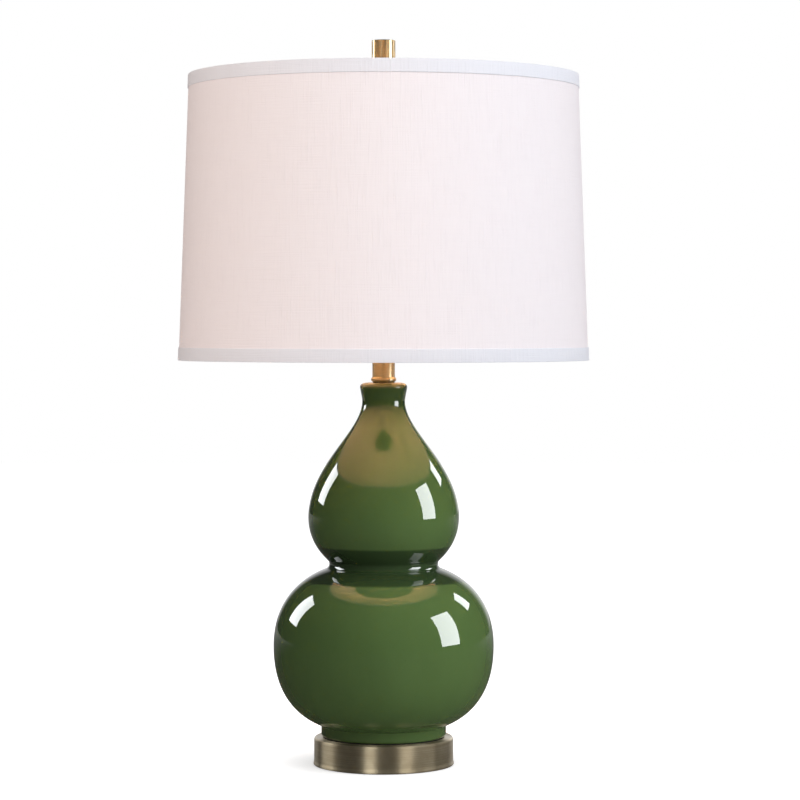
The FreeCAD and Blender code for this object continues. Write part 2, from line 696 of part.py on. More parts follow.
pad_top = crown_z + s.pad_thickness
tube_low = pad_top + s.check_plate
tube_top = tube_low + s.tube_length
cap_top = tube_top + s.cap_plate
saddle_top = cap_top + s.saddle_thickness
pipe_top = saddle_top + s.socket_hub_height


def brass_neck():
    """Soft washer, beaded check ring, plain tube and the plate on top of the tube."""
    hole = s.pipe_radius + s.pipe_play
    washer = turned("neck_washer", ring(hole, s.pad_radius, crown_z, pad_top))

    seat, bulge, half = s.tube_radius + s.tube_fit, s.bead_bulge, s.bead_height / 2
    bead_round = (half * half + bulge * bulge) / (bulge * 2)
    check = Outline(hole, pad_top).line(seat, pad_top)
    check.arc(seat, pad_top + s.bead_height, bead_round)
    check.line(seat, tube_low).line(hole, tube_low)
    bore = s.tube_radius - s.tube_wall
    tube = turned("neck_tube", ring(bore, s.tube_radius, tube_low, tube_top))

    edge, boss, round_ = s.tube_radius + s.cap_overhang, bore - s.tube_fit, s.cap_edge_round
    cap = Outline(hole, tube_top - s.cap_boss).line(boss, tube_top - s.cap_boss).line(boss, tube_top)
    cap.line(edge, tube_top).line(edge, cap_top - round_).arc(edge - round_, cap_top, round_)
    cap.line(hole, cap_top)
    return [washer, turned("check_ring", check), tube, turned("neck_cap", cap)]


def threaded_pipe():
    """The pipe that runs from the nut under the base up into the socket cap, and carries the wires."""
    return turned("threaded_pipe", ring(s.pipe_bore, s.pipe_radius, pipe_low, pipe_top))


# ---------------------------------------------------------------- harp

shoulder_z = saddle_top + s.shoulder_rise
leg_low = shoulder_z + s.leg_gap
seat_top = cap_top + s.harp_height
seat_low = seat_top - s.seat_thickness
bow_top = seat_low - s.swivel_play - s.harp_wire_radius
tab_inner = s.saddle_spread - s.saddle_thickness / 2
tab_outer = s.saddle_spread + s.saddle_thickness / 2


def harp_saddle():
    """A bent strap clamped under the socket, with two upright tabs that the harp's legs lock on to."""
    low, high, bend = cap_top, saddle_top, s.saddle_bend
    top = shoulder_z + s.tab_rise
    turn = bend + s.saddle_thickness
    strap = Outline(-tab_outer, top)
    strap.line(-tab_outer, low + turn).arc(turn - tab_outer, low, turn)
    strap.line(tab_outer - turn, low).arc(tab_outer, low + turn, turn).line(tab_outer, top)
    strap.line(tab_inner, top).line(tab_inner, high + bend)
    strap.arc(tab_inner - bend, high, bend, left=False)
    strap.line(bend - tab_inner, high).arc(-tab_inner, high + bend, bend, left=False)
    strap.line(-tab_inner, top)
    body = new_body("harp_saddle")
    side = outline_sketch(body, "strap_side", "XZ_Plane", strap)
    extruded(body, "strap", "Pad", side, s.saddle_width, both_ways=True)

    middle = circle_sketch(body, "middle_circle", "XY_Plane", s.saddle_hub_radius, offset=low)
    extruded(body, "middle", "Pad", middle, s.saddle_thickness)
    hole = circle_sketch(
        body, "pipe_hole_circle", "XY_Plane", s.pipe_radius + s.pipe_play, offset=low
    )
    extruded(body, "pipe_hole", "Pocket", hole, s.saddle_thickness, backwards=True)

    narrow, wide = s.tab_width / 2, s.saddle_width
    sides = [
        Outline(near, shoulder_z).line(far, shoulder_z).line(far, top + narrow).line(near, top + narrow)
        for near, far in ((narrow, wide), (-narrow, -wide))
    ]
    waste = outline_sketch(body, "tab_sides", "YZ_Plane", *sides)
    extruded(body, "tabs", "Pocket", waste, tab_outer * 3, both_ways=True)
    return body


def bow_angle():
    """Lean of the harp's flaring stretch, in radians: the line that touches the leg's bend and the bow."""
    across = plain(s.leg_half_spacing + s.leg_bend)
    rise = plain(bow_top - s.harp_half_width - (leg_low + s.leg_straight))
    reach = plain(s.leg_bend + s.harp_half_width)
    return math.atan2(rise, across) - math.acos(reach / math.hypot(across, rise))


def harp_path(body):
    """Middle line of half the harp: upright leg, bend, flaring stretch and quarter bow, each tangent."""
    leg, bend, bow = plain(s.leg_half_spacing), plain(s.leg_bend), plain(s.harp_half_width)
    leg_high = leg_low + s.leg_straight
    lean = bow_angle()
    bend_centre = Vector(leg + bend, plain(leg_high), 0)
    bow_centre = Vector(0, plain(bow_top) - bow, 0)
    across = Vector(math.cos(lean), -math.sin(lean), 0)
    sketch = new_sketch(body, "harp_line", "XZ_Plane")
    up = Vector(0, 0, 1)
    upright = sketch.addGeometry(
        Part.LineSegment(Vector(leg, plain(leg_low), 0), Vector(leg, plain(leg_high), 0))
    )
    turn = sketch.addGeometry(
        Part.ArcOfCircle(Part.Circle(bend_centre, up, bend), math.pi - lean, math.pi)
    )
    flare = sketch.addGeometry(
        Part.LineSegment(bend_centre - across * bend, bow_centre + across * bow)
    )
    quarter = sketch.addGeometry(
        Part.ArcOfCircle(Part.Circle(bow_centre, up, bow), -lean, math.pi / 2)
    )
    sketch.addConstraint(Sketcher.Constraint("Vertical", upright))
    fix(sketch, upright, 1, (s.leg_half_spacing, leg_low))
    dimension(sketch, "DistanceY", upright, 2, leg_high)
    sketch.addConstraint(Sketcher.Constraint("Tangent", upright, 2, turn, 2))
    sketch.addConstraint(Sketcher.Constraint("Tangent", turn, 1, flare, 1))
    sketch.addConstraint(Sketcher.Constraint("Tangent", flare, 2, quarter, 1))
    dimension(sketch, "Radius", turn, s.leg_bend)
    dimension(sketch, "Radius", quarter, s.harp_half_width)
    dimension(sketch, "DistanceX", quarter, 3, AXIS)
    fix(sketch, quarter, 2, (AXIS, bow_top))
    doc.recompute()
    return sketch


def harp_wire():
    """The harp: one bent wire with a flattened eye at the top and a flat at the foot of each leg."""
    wire, leg = s.harp_wire_radius, s.leg_half_spacing
    body = new_body("harp_wire")
    path = harp_path(body)
    section = circle_sketch(body, "wire_circle", "XY_Plane", wire, x=leg, offset=leg_low)
    half = swept(body, "half_bow", section, path)

    face = tab_inner - s.leg_flat_gap
    flat_high, far, below = leg_low + s.leg_flat_rise, leg + wire * 2, leg_low - wire
    cut = Outline(face, below).line(far, below).line(far, flat_high).line(face, flat_high)
    waste = outline_sketch(body, "leg_flat_side", "XZ_Plane", cut)
    flat_cut = extruded(body, "leg_flat", "Pocket", waste, wire * 4, both_ways=True)

    mirrored(body, "whole_bow", half, flat_cut)

    eye = circle_sketch(body, "eye_circle", "XY_Plane", s.eye_radius, offset=bow_top - wire)
    extruded(body, "eye", "Pad", eye, wire * 2)
    flat = circle_sketch(body, "eye_flat_circle", "XY_Plane", s.eye_radius, offset=bow_top - wire)
    extruded(body, "eye_flat", "Pocket", flat, wire)
    bore = circle_sketch(
        body, "eye_bore_circle", "XY_Plane", s.shank_radius + s.shank_fit, offset=bow_top - wire
    )
    extruded(body, "eye_bore", "Pocket", bore, wire * 2, backwards=True)
    return body


def harp_sleeve(name, side):
    """A brass sleeve that slides down over a leg and its tab, and locks them together."""
    low = shoulder_z + s.sleeve_seat_gap
    high, outer = low + s.sleeve_length, s.sleeve_bore + s.sleeve_wall
    rim, rim_height = outer + s.sleeve_rim, s.sleeve_rim_height
    tube = Outline(s.sleeve_bore, low).line(rim, low).line(rim, low + rim_height)
    tube.line(outer, low + rim_height).line(outer, high - rim_height)
    tube.line(rim, high - rim_height).line(rim, high).line(s.sleeve_bore, high)
    body = turned(name, tube)
    wire_inner = s.leg_half_spacing - s.harp_wire_radius
    bind(body, "Placement.Base.x", (wire_inner + tab_outer) / 2 * side)
    return body


def harp_swivel():
    """The riveted swivel: head, shank, seat for the shade, centring spigot and threaded stud."""
    eye_low, eye_high = bow_top - s.harp_wire_radius, bow_top + s.harp_wire_radius
    head_low = eye_low - s.rivet_thickness - s.swivel_play
    spigot_high = seat_top + s.spigot_height
    stud_high = spigot_high + s.stud_length
    swivel = Outline(AXIS, head_low).line(s.rivet_radius, head_low)
    swivel.line(s.rivet_radius, eye_low - s.swivel_play).line(s.shank_radius, eye_low - s.swivel_play)
    swivel.line(s.shank_radius, eye_high + s.swivel_play).line(s.seat_radius, eye_high + s.swivel_play)
    swivel.line(s.seat_radius, seat_top).line(s.spigot_radius, seat_top)
    swivel.line(s.spigot_radius, spigot_high).line(s.stud_radius, spigot_high)
    swivel.line(s.stud_radius, stud_high).line(AXIS, stud_high)
    return turned("harp_swivel", swivel)


# ---------------------------------------------------------------- shade

hub_top = seat_top + s.hub_thickness
shade_top = seat_top + s.shade_drop
shade_low = shade_top - s.shade_height
top_ring_z = shade_top - s.trim_thickness - s.ring_radius - s.ring_gap
low_ring_z = shade_low + s.trim_thickness + s.ring_radius + s.ring_gap


def cover_radius(z):
    """Outside of the fabric cover at height z."""
    spread = s.shade_bottom_radius - s.shade_top_radius
    return s.shade_top_radius + spread * ((shade_top - z) / s.shade_height)


def ring_centre(z):
    """Radius of a wire ring's middle line where it lies inside the liner."""
    return cover_radius(z) - s.cover_thickness - s.liner_thickness - s.ring_radius - s.ring_gap


def cone(inset_out, inset_in):
    """A thin conical wall, its faces inset from the outside of the cover."""
    low, high = shade_low + s.trim_thickness, shade_top - s.trim_thickness
    wall = Outline(cover_radius(low) - inset_in, low).line(cover_radius(low) - inset_out, low)
    return wall.line(cover_radius(high) - inset_out, high).line(cover_radius(high) - inset_in, high)


def hem(edge, ring_z, way):
    """Hem tape folded over one edge of the shade and tucked in behind the wire ring.

    The tape leads away from the edge, down (way = -1) from the top edge and up (way = 1) from the bottom.
    """
    tape, corner = s.trim_thickness, s.trim_thickness / 2
    wide, tuck = edge + s.trim_width * way, edge + s.trim_fold * way
    web, rounded, left = edge + tape * way, edge + corner * way, way < 0
    inner = ring_centre(ring_z) - s.ring_radius - s.ring_gap
    outer = cover_radius(edge) + tape
    fold = Outline(cover_radius(wide), wide).line(cover_radius(wide) + tape, wide)
    fold.line(outer, rounded).arc(outer - corner, edge, corner, left=left)
    fold.line(inner - tape + corner, edge).arc(inner - tape, rounded, corner, left=left)
    fold.line(inner - tape, tuck).line(inner, tuck).line(inner, web)
    return fold.line(cover_radius(web), web)


def shade_shell():
    """Plastic liner, fabric cover, wire rings and the hem tapes at both edges."""
    cover, liner = s.cover_thickness, s.liner_thickness
    pieces = [
        turned("shade_cover", cone(AXIS, cover)),
        turned("shade_liner", cone(cover, cover + liner)),
        turned("shade_top_hem", hem(shade_top, top_ring_z, -1)),
        turned("shade_bottom_hem", hem(shade_low, low_ring_z, 1)),
    ]
    for name, z in (("shade_top_ring", top_ring_z), ("shade_bottom_ring", low_ring_z)):
        wire = doc.addObject("Part::Torus", name)
        bind(wire, "Radius1", ring_centre(z))
        bind(wire, "Radius2", s.ring_radius)
        bind(wire, "Placement.Base.z", z)
        pieces.append(wire)
    return pieces


def shade_spider():
    """The fitter: a washer on the harp's seat, with wire arms that rise to the top ring. One points back."""
    wire, bend, mid = s.arm_radius, s.arm_bend, seat_top + s.hub_thickness / 2
    outer, arm_top = ring_centre(top_ring_z), top_ring_z - s.ring_radius
    body = new_body("shade_spider")
    washer = circle_sketch(body, "hub_circle", "XY_Plane", s.hub_radius, offset=seat_top)
    extruded(body, "hub", "Pad", washer, s.hub_thickness)
    hole = circle_sketch(
        body, "hub_hole_circle", "XY_Plane", s.spigot_radius + s.hub_play, offset=seat_top
    )
    extruded(body, "hub_hole", "Pocket", hole, s.hub_thickness, backwards=True)

    path = new_sketch(body, "arm_line", "YZ_Plane")
    corner, rise = point((outer - bend, mid)), point((outer, mid + bend))
    level = sketch_line(path, point((s.arm_start, mid)), corner)
    turn = path.addGeometry(arc_between(corner, rise, plain(bend), True))
    upright = sketch_line(path, rise, point((outer, arm_top)))
    fix(path, level, 1, (s.arm_start, mid))
    fix(path, upright, 2, (outer, arm_top))
    path.addConstraint(Sketcher.Constraint("Horizontal", level))
    path.addConstraint(Sketcher.Constraint("Tangent", level, 2, turn, 1))
    path.addConstraint(Sketcher.Constraint("Tangent", turn, 2, upright, 1))
    path.addConstraint(Sketcher.Constraint("Vertical", upright))
    dimension(path, "Radius", turn, bend)
    doc.recompute()
    section = circle_sketch(body, "arm_circle", "XZ_Plane", wire, y=mid, offset=-s.arm_start)
    arm = swept(body, "arm", section, path)
    around(body, "arms", arm, "Z_Axis", s.arm_count)
    return body


def sketch_line(sketch, start, end):
    return sketch.addGeometry(Part.LineSegment(start, end))


# ---------------------------------------------------------------- finial

def finial():
    """A plain turned cylinder that screws down on the stud and clamps the shade's hub."""
    low, high, edge = hub_top, hub_top + s.finial_height, s.finial_edge
    bore, depth, radius = s.stud_radius + s.stud_fit, hub_top + s.finial_bore_depth, s.finial_radius
    turnery = Outline(bore, low).line(radius - edge, low).arc(radius, low + edge, edge)
    turnery.line(radius, high - edge).arc(radius - edge, high, edge).line(AXIS, high)
    turnery.line(AXIS, depth).line(bore, depth)
    return turned("finial", turnery)


# ---------------------------------------------------------------- socket and switch

cap_rim = saddle_top + s.socket_cap_height
shell_low = cap_rim - s.shell_lap
shell_top = shell_low + s.shell_length
fibre_low = shell_low + s.fibre_rise
shell_inner = s.socket_cap_radius - s.socket_cap_wall - s.liner_gap - s.shell_wall
fibre_outer = shell_inner - s.liner_gap
block_low = fibre_low
block_top = block_low + s.block_height
shaft_z = block_low + s.shaft_rise
leaf_top = block_top + s.leaf_rise + s.leaf_thickness
tip_low = leaf_top + s.leaf_gap


def socket_cap():
    """A pressed cap with a threaded hub below and a rim that grips the shell."""
    wall, rim, hub = s.socket_cap_wall, s.socket_cap_radius, s.socket_hub_radius
    low, bowl = saddle_top, saddle_top + s.socket_bowl_start
    skirt = cap_rim - s.socket_cap_skirt
    hub_high = low + s.socket_hub_height
    thread = s.pipe_radius + s.thread_fit
    cap = Outline(thread, low).line(hub, low).line(hub, bowl)
    cap.curve(rim - wall, bowl, rim, bowl + wall, rim, skirt).line(rim, cap_rim)
    cap.line(rim - wall, cap_rim).line(rim - wall, skirt)
    cap.curve(rim - wall, hub_high, rim - wall * 2, hub_high, hub, hub_high).line(thread, hub_high)
    body = turned("socket_cap", cap)
    hole = circle_sketch(
        body, "set_screw_hole_circle", "XZ_Plane", s.set_screw_radius + s.set_screw_fit,
        y=low + s.set_screw_height,
    )
    extruded(body, "set_screw_hole", "Pocket", hole, hub + rim)

    screw = doc.addObject("Part::Cylinder", "set_screw")
    bind(screw, "Radius", s.set_screw_radius)
    bind(screw, "Height", hub - s.pipe_radius - s.set_screw_gap)
    screw.Placement.Rotation = FreeCAD.Rotation(Vector(1, 0, 0), -90)
    bind(screw, "Placement.Base.y", s.pipe_radius + s.set_screw_gap)
    bind(screw, "Placement.Base.z", low + s.set_screw_height)
    return [body, screw]


def notch(body, low):
    """Cuts the front notch that lets the switch shaft out of a socket tube."""
    half, high = s.slot_half_width, shaft_z + s.slot_head
    side = Outline(-half, low - half).line(half, low - half).line(half, high - half)
    side.line(half / 2, high).line(-half / 2, high).line(-half, high - half)
    waste = outline_sketch(body, f"{body.Name}_notch_outline", "XZ_Plane", side)
    extruded(body, f"{body.Name}_notch", "Pocket", waste, s.socket_cap_radius * 2, backwards=True)
    return body


def socket_tubes():
    """The brass shell with its rolled mouth, and the fibre liner inside it."""
    outer, bead = shell_inner + s.shell_wall, s.shell_bead
    bead_low = shell_top - s.shell_bead_height
    tube = Outline(shell_inner, shell_low).line(outer, shell_low).line(outer, bead_low)
    tube.line(outer + bead, bead_low + bead).line(outer + bead, shell_top - bead)
    tube.line(outer, shell_top).line(shell_inner, shell_top)
    high = fibre_low + s.fibre_length
    fibre = ring(fibre_outer - s.fibre_thickness, fibre_outer, fibre_low, high)
    return [
        notch(turned("socket_shell", tube), shell_low),
        notch(turned("socket_liner", fibre), fibre_low),
    ]


def socket_block():
    """The moulded switch block: a spool with a bore for the shaft and seats for the terminal screws."""
    body_radius, flange, thick = s.block_radius, s.block_flange_radius, s.block_flange_height
    spool = Outline(AXIS, block_low).line(flange, block_low).line(flange, block_low + thick)
    spool.line(body_radius, block_low + thick).line(body_radius, block_top - thick)
    spool.line(flange, block_top - thick).line(flange, block_top).line(AXIS, block_top)
    body = turned("socket_block", spool)
    bore = circle_sketch(body, "shaft_bore_circle", "XZ_Plane", s.shaft_radius + s.shaft_fit, y=shaft_z)
    extruded(body, "shaft_bore", "Pocket", bore, flange + flange, backwards=True)
    seats = circle_sketch(
        body, "terminal_circle", "YZ_Plane", s.terminal_radius + s.terminal_fit, y=shaft_z,
        offset=body_radius - s.terminal_depth,
    )
    seat = extruded(body, "terminal_seat", "Pocket", seats, flange, backwards=True)
    mirrored(body, "terminal_seats", seat)
    return body


def terminal_screws():
    """Two screws in the sides of the block, one for each lead. They are two solids of one node."""
    body = new_body("terminal_screws")
    body.AllowCompound = True
    shank = circle_sketch(
        body, "terminal_shank_circle", "YZ_Plane", s.terminal_radius, y=shaft_z,
        offset=s.block_radius - s.terminal_depth,
    )
    stem = extruded(body, "terminal_shank", "Pad", shank, s.terminal_depth)
    face = circle_sketch(
        body, "terminal_head_circle", "YZ_Plane", s.terminal_head_radius, y=shaft_z,
        offset=s.block_radius,
    )
    head = extruded(body, "terminal_head", "Pad", face, s.terminal_head_thickness)
    mirrored(body, "both_terminals", stem, head)
    return body


def socket_contacts():
    """The screw shell that the bulb turns in, and the bent leaf that meets the bulb's tip."""
    inner, wall = s.bulb_cap_radius + s.screw_shell_play, s.screw_shell_wall
    outer, high, floor = inner + wall, block_top + s.screw_shell_length, block_top + wall
    cup = Outline(s.screw_shell_hole, block_top).line(outer, block_top).line(outer, high)
    cup.line(inner, high).line(inner, floor).line(s.screw_shell_hole, floor)

    thick, foot, tip = s.leaf_thickness, s.leaf_foot, -s.leaf_tip
    strip = Outline(foot - s.leaf_turn, block_top).line(foot, block_top).line(foot, leaf_top)
    strip.line(tip, leaf_top).line(tip, leaf_top - thick).line(foot - thick, leaf_top - thick)
    strip.line(foot - thick, block_top + thick).line(foot - s.leaf_turn, block_top + thick)
    leaf = new_body("socket_contact")
    side = outline_sketch(leaf, "leaf_side", "XZ_Plane", strip)
    extruded(leaf, "leaf", "Pad", side, s.leaf_width, both_ways=True)
    return [turned("socket_screw_shell", cup), leaf]


def switch():
    """The switch shaft and its fluted knob, both turned about the shaft's axis, which lies along Y."""
    end, knob_end = s.knob_start + s.knob_bore_depth, s.knob_start + s.knob_length
    shaft = doc.addObject("Part::Cylinder", "switch_shaft")
    bind(shaft, "Radius", s.shaft_radius)
    bind(shaft, "Height", end - s.shaft_inner)
    shaft.Placement.Rotation = FreeCAD.Rotation(Vector(1, 0, 0), 90)
    bind(shaft, "Placement.Base.y", -s.shaft_inner)
    bind(shaft, "Placement.Base.z", shaft_z)

    bore, radius, round_ = s.shaft_radius + s.knob_fit, s.knob_radius, s.knob_round
    side = Outline(bore, -s.knob_start).line(s.knob_neck_radius, -s.knob_start)
    side.line(radius, -(s.knob_start + s.flute_start)).line(radius, round_ - knob_end)
    side.arc(radius - round_, -knob_end, round_, left=False).line(AXIS, -knob_end)
    side.line(AXIS, -end).line(bore, -end)
    knob = turned("switch_knob", side, role="XY_Plane")
    groove = circle_sketch(
        knob, "flute_circle", "XZ_Plane", s.flute_radius, x=radius + s.flute_offset, offset=knob_end
    )
    flute = extruded(knob, "flute", "Pocket", groove, s.knob_length - s.flute_start)
    around(knob, "flutes", flute, "Y_Axis", s.flute_count)
    bind(knob, "Placement.Base.z", shaft_z)
    return [shaft, knob]


# ---------------------------------------------------------------- bulb

insulator_low = tip_low + s.tip_height
bulb_cap_low = insulator_low + s.insulator_height
bulb_cap_top = bulb_cap_low + s.bulb_cap_length
globe_z = bulb_cap_top + s.globe_rise
globe_top = globe_z + s.globe_crown


def bulb():
    """A pear-shaped bulb: centre contact, glass insulator, screw cap and hollow globe."""
    contact = doc.addObject("Part::Cylinder", "bulb_contact")
    bind(contact, "Radius", s.tip_radius)
    bind(contact, "Height", s.tip_height)
    bind(contact, "Placement.Base.z", tip_low)

    seat = s.insulator_radius
    cone_side = Outline(AXIS, insulator_low).line(s.tip_radius + s.tip_margin, insulator_low)
    cone_side.line(seat, bulb_cap_low).line(AXIS, bulb_cap_low)

    cap, wall, lap = s.bulb_cap_radius, s.bulb_cap_wall, s.insulator_radius - s.insulator_lap
    skirt = bulb_cap_low + s.bulb_cap_taper
    side = Outline(lap, bulb_cap_low).line(seat, bulb_cap_low).line(cap, skirt).line(cap, bulb_cap_top)
    side.line(cap - wall, bulb_cap_top).line(cap - wall, skirt + wall)
    side.line(seat, bulb_cap_low + wall * 2).line(lap, bulb_cap_low + wall * 2)

    neck, glass, wide = cap - wall - s.globe_fit, s.globe_wall, s.globe_radius
    foot = bulb_cap_top - s.globe_neck_lap
    pear = Outline(neck - glass, foot).line(neck, foot).line(neck, bulb_cap_top)
    pear.upright(s.globe_neck_reach, s.globe_lower_reach, wide, globe_z)
    pear.curve(wide, globe_z + s.globe_upper_reach, s.globe_top_reach, globe_top, AXIS, globe_top)
    pear.line(AXIS, globe_top - glass)
    pear.curve(
        s.globe_top_reach, globe_top - glass,
        wide - glass, globe_z + s.globe_upper_reach,
        wide - glass, globe_z,
    )
    pear.upright(s.globe_lower_reach, s.globe_neck_reach, neck - glass, bulb_cap_top)
    return [
        contact, turned("bulb_insulator", cone_side), turned("bulb_cap", side), turned("bulb_globe", pear)
    ]


# ---------------------------------------------------------------- the lamp

PIECES = [
    base_felt(),
    base_cup(),
    cord_bushing(),
    *fixing_stack(),
    foot_gasket(),
    gourd_body(),
    *brass_neck(),
    threaded_pipe(),
    harp_saddle(),
    *socket_cap(),
    *socket_tubes(),
    socket_block(),
    terminal_screws(),
    *socket_contacts(),
    *switch(),
    *bulb(),
    harp_wire(),
    harp_sleeve("harp_sleeve_left", -1),
    harp_sleeve("harp_sleeve_right", 1),
    harp_swivel(),
    *shade_shell(),
    shade_spider(),
    finial(),
]

doc.recompute()
for made in doc.Objects:
    if {"Invalid", "Error"} & set(made.State):
        raise RuntimeError(f"{made.Label} failed: {made.State}")
for piece in PIECES:
    if piece.Shape.isNull() or not piece.Shape.isValid() or not piece.Shape.Solids:
        raise RuntimeError(f"{piece.Label} is not a sound solid")

os.makedirs("parts", exist_ok=True)
for piece in PIECES:
    piece.Shape.exportStep(f"parts/{piece.Label}.step")
print(f"{len(PIECES)} pieces written")
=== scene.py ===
import math

import bmesh
import bpy
from mathutils import Matrix, Vector
from mathutils.geometry import interpolate_bezier


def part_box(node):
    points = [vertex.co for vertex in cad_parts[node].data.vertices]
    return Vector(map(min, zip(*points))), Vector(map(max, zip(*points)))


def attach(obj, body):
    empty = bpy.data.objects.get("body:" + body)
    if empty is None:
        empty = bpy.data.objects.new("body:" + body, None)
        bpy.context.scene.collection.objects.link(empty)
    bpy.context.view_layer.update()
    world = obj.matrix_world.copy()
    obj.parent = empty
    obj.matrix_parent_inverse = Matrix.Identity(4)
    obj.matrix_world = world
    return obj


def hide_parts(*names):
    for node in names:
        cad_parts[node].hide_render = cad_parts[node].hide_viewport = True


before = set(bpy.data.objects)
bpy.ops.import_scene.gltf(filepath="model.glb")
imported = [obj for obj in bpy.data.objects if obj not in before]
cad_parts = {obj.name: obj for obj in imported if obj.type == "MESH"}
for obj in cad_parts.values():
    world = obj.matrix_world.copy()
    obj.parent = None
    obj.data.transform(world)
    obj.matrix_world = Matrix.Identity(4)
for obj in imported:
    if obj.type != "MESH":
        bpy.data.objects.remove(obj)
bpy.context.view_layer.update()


# ------------------------------------------------------------------ felt disc
# The disc of wool felt glued into the flange under the base, so that the metal rim never scratches the
# table. It is die-cut and dyed dark green.

class Wire:
    """A socket of a finish. Plus and times add the Math nodes."""

    def __init__(self, finish, socket):
        self.finish = finish
        self.socket = socket

    def _maths(self, operation, *values):
        return self.finish.node("Math", {"operation": operation}, dict(enumerate(values)))

    def __add__(self, other):
        return self._maths("ADD", self, other)

    def __mul__(self, other):
        return self._maths("MULTIPLY", self, other)

    __radd__ = __add__
    __rmul__ = __mul__


class Finish:
    """A procedural material. Patterns are laid out in metres, on the lamp's coordinates or a cloth's map."""

    def __init__(self, name):
        self.material = bpy.data.materials.new(name)
        self.material.use_nodes = True
        self.tree = self.material.node_tree
        self.tree.nodes.clear()

    def node(self, kind, settings=None, inputs=None, out=0):
        made = self.tree.nodes.new("ShaderNode" + kind)
        for name, value in (settings or {}).items():
            setattr(made, name, value)
        for name, value in (inputs or {}).items():
            if isinstance(value, Wire):
                self.tree.links.new(value.socket, made.inputs[name])
            else:
                made.inputs[name].default_value = value
        return Wire(self, made.outputs[out]) if made.outputs else None

    def noise(self, scale, stretch=(1, 1, 1), detail=3.0, place=None):
        """Noise around a half, with so many lumps to the metre, drawn out along an axis by a low stretch."""
        place = place or self.node("TexCoord", out="Object")
        at = self.node("Mapping", None, {"Vector": place, "Scale": stretch})
        return self.node("TexNoise", None, {"Vector": at, "Scale": scale, "Detail": detail})

    def between(self, value, low, high):
        """Straightens a value so that low becomes 0 and high becomes 1."""
        return self.node("MapRange", None, {0: value, 1: low, 2: high})

    def blend(self, factor, first, second):
        """A colour between two colours, each given as three numbers or as a wire."""
        ends = [end if isinstance(end, Wire) else (*end, 1.0) for end in (first, second)]
        return self.node("Mix", {"data_type": "RGBA"}, {0: factor, 6: ends[0], 7: ends[1]}, out=2)

    def bump(self, height, distance):
        return self.node("Bump", None, {"Height": height, "Distance": distance, "Strength": 1.0})

    def surface(self, **sockets):
        """Ends the material in one Principled shader, whose sockets are named with underscores for spaces."""
        inputs = {name.replace("_", " "): value for name, value in sockets.items()}
        for name, value in inputs.items():
            if isinstance(value, tuple):
                inputs[name] = (*value, 1.0)
        shader = self.node("BsdfPrincipled", None, inputs)
        self.node("OutputMaterial", None, {"Surface": shader})
        return self.material


def dress(material, *nodes):
    """Gives CAD nodes that stay in view their finish."""
    for name in nodes:
        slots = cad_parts[name].data.materials
        slots.clear()
        slots.append(material)


def felt_finish():
    felt = Finish("wool_felt")
    fibre = felt.noise(900.0, detail=6.0)
    colour = felt.blend(fibre * 0.7 + felt.noise(60.0) * 0.3, (0.006, 0.011, 0.007), (0.026, 0.038, 0.027))
    return felt.surface(
        Base_Color=colour, Roughness=0.95, Specular_IOR_Level=0.2, Sheen_Weight=0.4,
        Normal=felt.bump(fibre, 0.0006),
    )


dress(felt_finish(), "base_felt")


# ------------------------------------------------------------------ base cup
# The round foot of the lamp: sheet brass spun into a shallow cup, with a rolled rim at the table and a hole
# at the back for the lead. It is brushed round its axis, darkened with an antique patina and lacquered.

MM = 0.001
FULL_TURN = 2 * math.pi


class Section:
    """Half of a turned piece's section, from point to point, in millimetres off the axis and the table."""

    def __init__(self, radius, height):
        self.points = [Vector((radius, 0, height))]

    def to(self, radius, height):
        self.points.append(Vector((radius, 0, height)))
        return self

    def curve(self, radius_1, height_1, radius_2, height_2, radius, height, steps):
        """A cubic curve with its two inner handles, in so many steps."""
        handles = Vector((radius_1, 0, height_1)), Vector((radius_2, 0, height_2))
        end = Vector((radius, 0, height))
        self.points += interpolate_bezier(self.points[-1], *handles, end, steps + 1)[1:]
        return self

    def round(self, radius, height, size, start, end, steps):
        """An arc about a centre, between two angles in degrees. 0 points out and 90 points up."""
        for step in range(steps + 1):
            angle = math.radians(start + (end - start) * step / steps)
            self.to(radius + size * math.cos(angle), height + size * math.sin(angle))
        return self


def finish_mesh(name, shape, body, material, sharp=30.0):
    """Turns a bmesh into a piece: doubles merged, faces outwards, smooth but for its sharp edges."""
    bmesh.ops.remove_doubles(shape, verts=shape.verts, dist=1e-6)
    bmesh.ops.recalc_face_normals(shape, faces=shape.faces)
    mesh = bpy.data.meshes.new(name)
    shape.to_mesh(mesh)
    shape.free()
    mesh.shade_smooth()
    mesh.set_sharp_from_angle(angle=math.radians(sharp))
    mesh.materials.append(material)
    piece = bpy.data.objects.new(name, mesh)
    bpy.context.scene.collection.objects.link(piece)
    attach(piece, body)
    return piece


def spun(section, steps=192):
    """A section, closed from its last point to its first, spun about the lamp's axis."""
    shape = bmesh.new()
    corners = [shape.verts.new(point * MM) for point in section.points]
    edges = [shape.edges.new(pair) for pair in zip(corners, corners[1:] + corners[:1])]
    bmesh.ops.spin(
        shape, geom=corners + edges, cent=(0, 0, 0), axis=(0, 0, 1), dvec=(0, 0, 0),
        angle=FULL_TURN, steps=steps, use_merge=True,
    )
    return shape


def drilled(piece, cutter):
    """Takes a cutter out of a piece and throws the cutter away."""
    cut = piece.modifiers.new("hole", "BOOLEAN")
    cut.object = cutter
    cut.solver = "EXACT"
    mesh = bpy.data.meshes.new_from_object(piece.evaluated_get(bpy.context.evaluated_depsgraph_get()))
    piece.modifiers.clear()
    piece.data = mesh
    bpy.data.objects.remove(cutter)


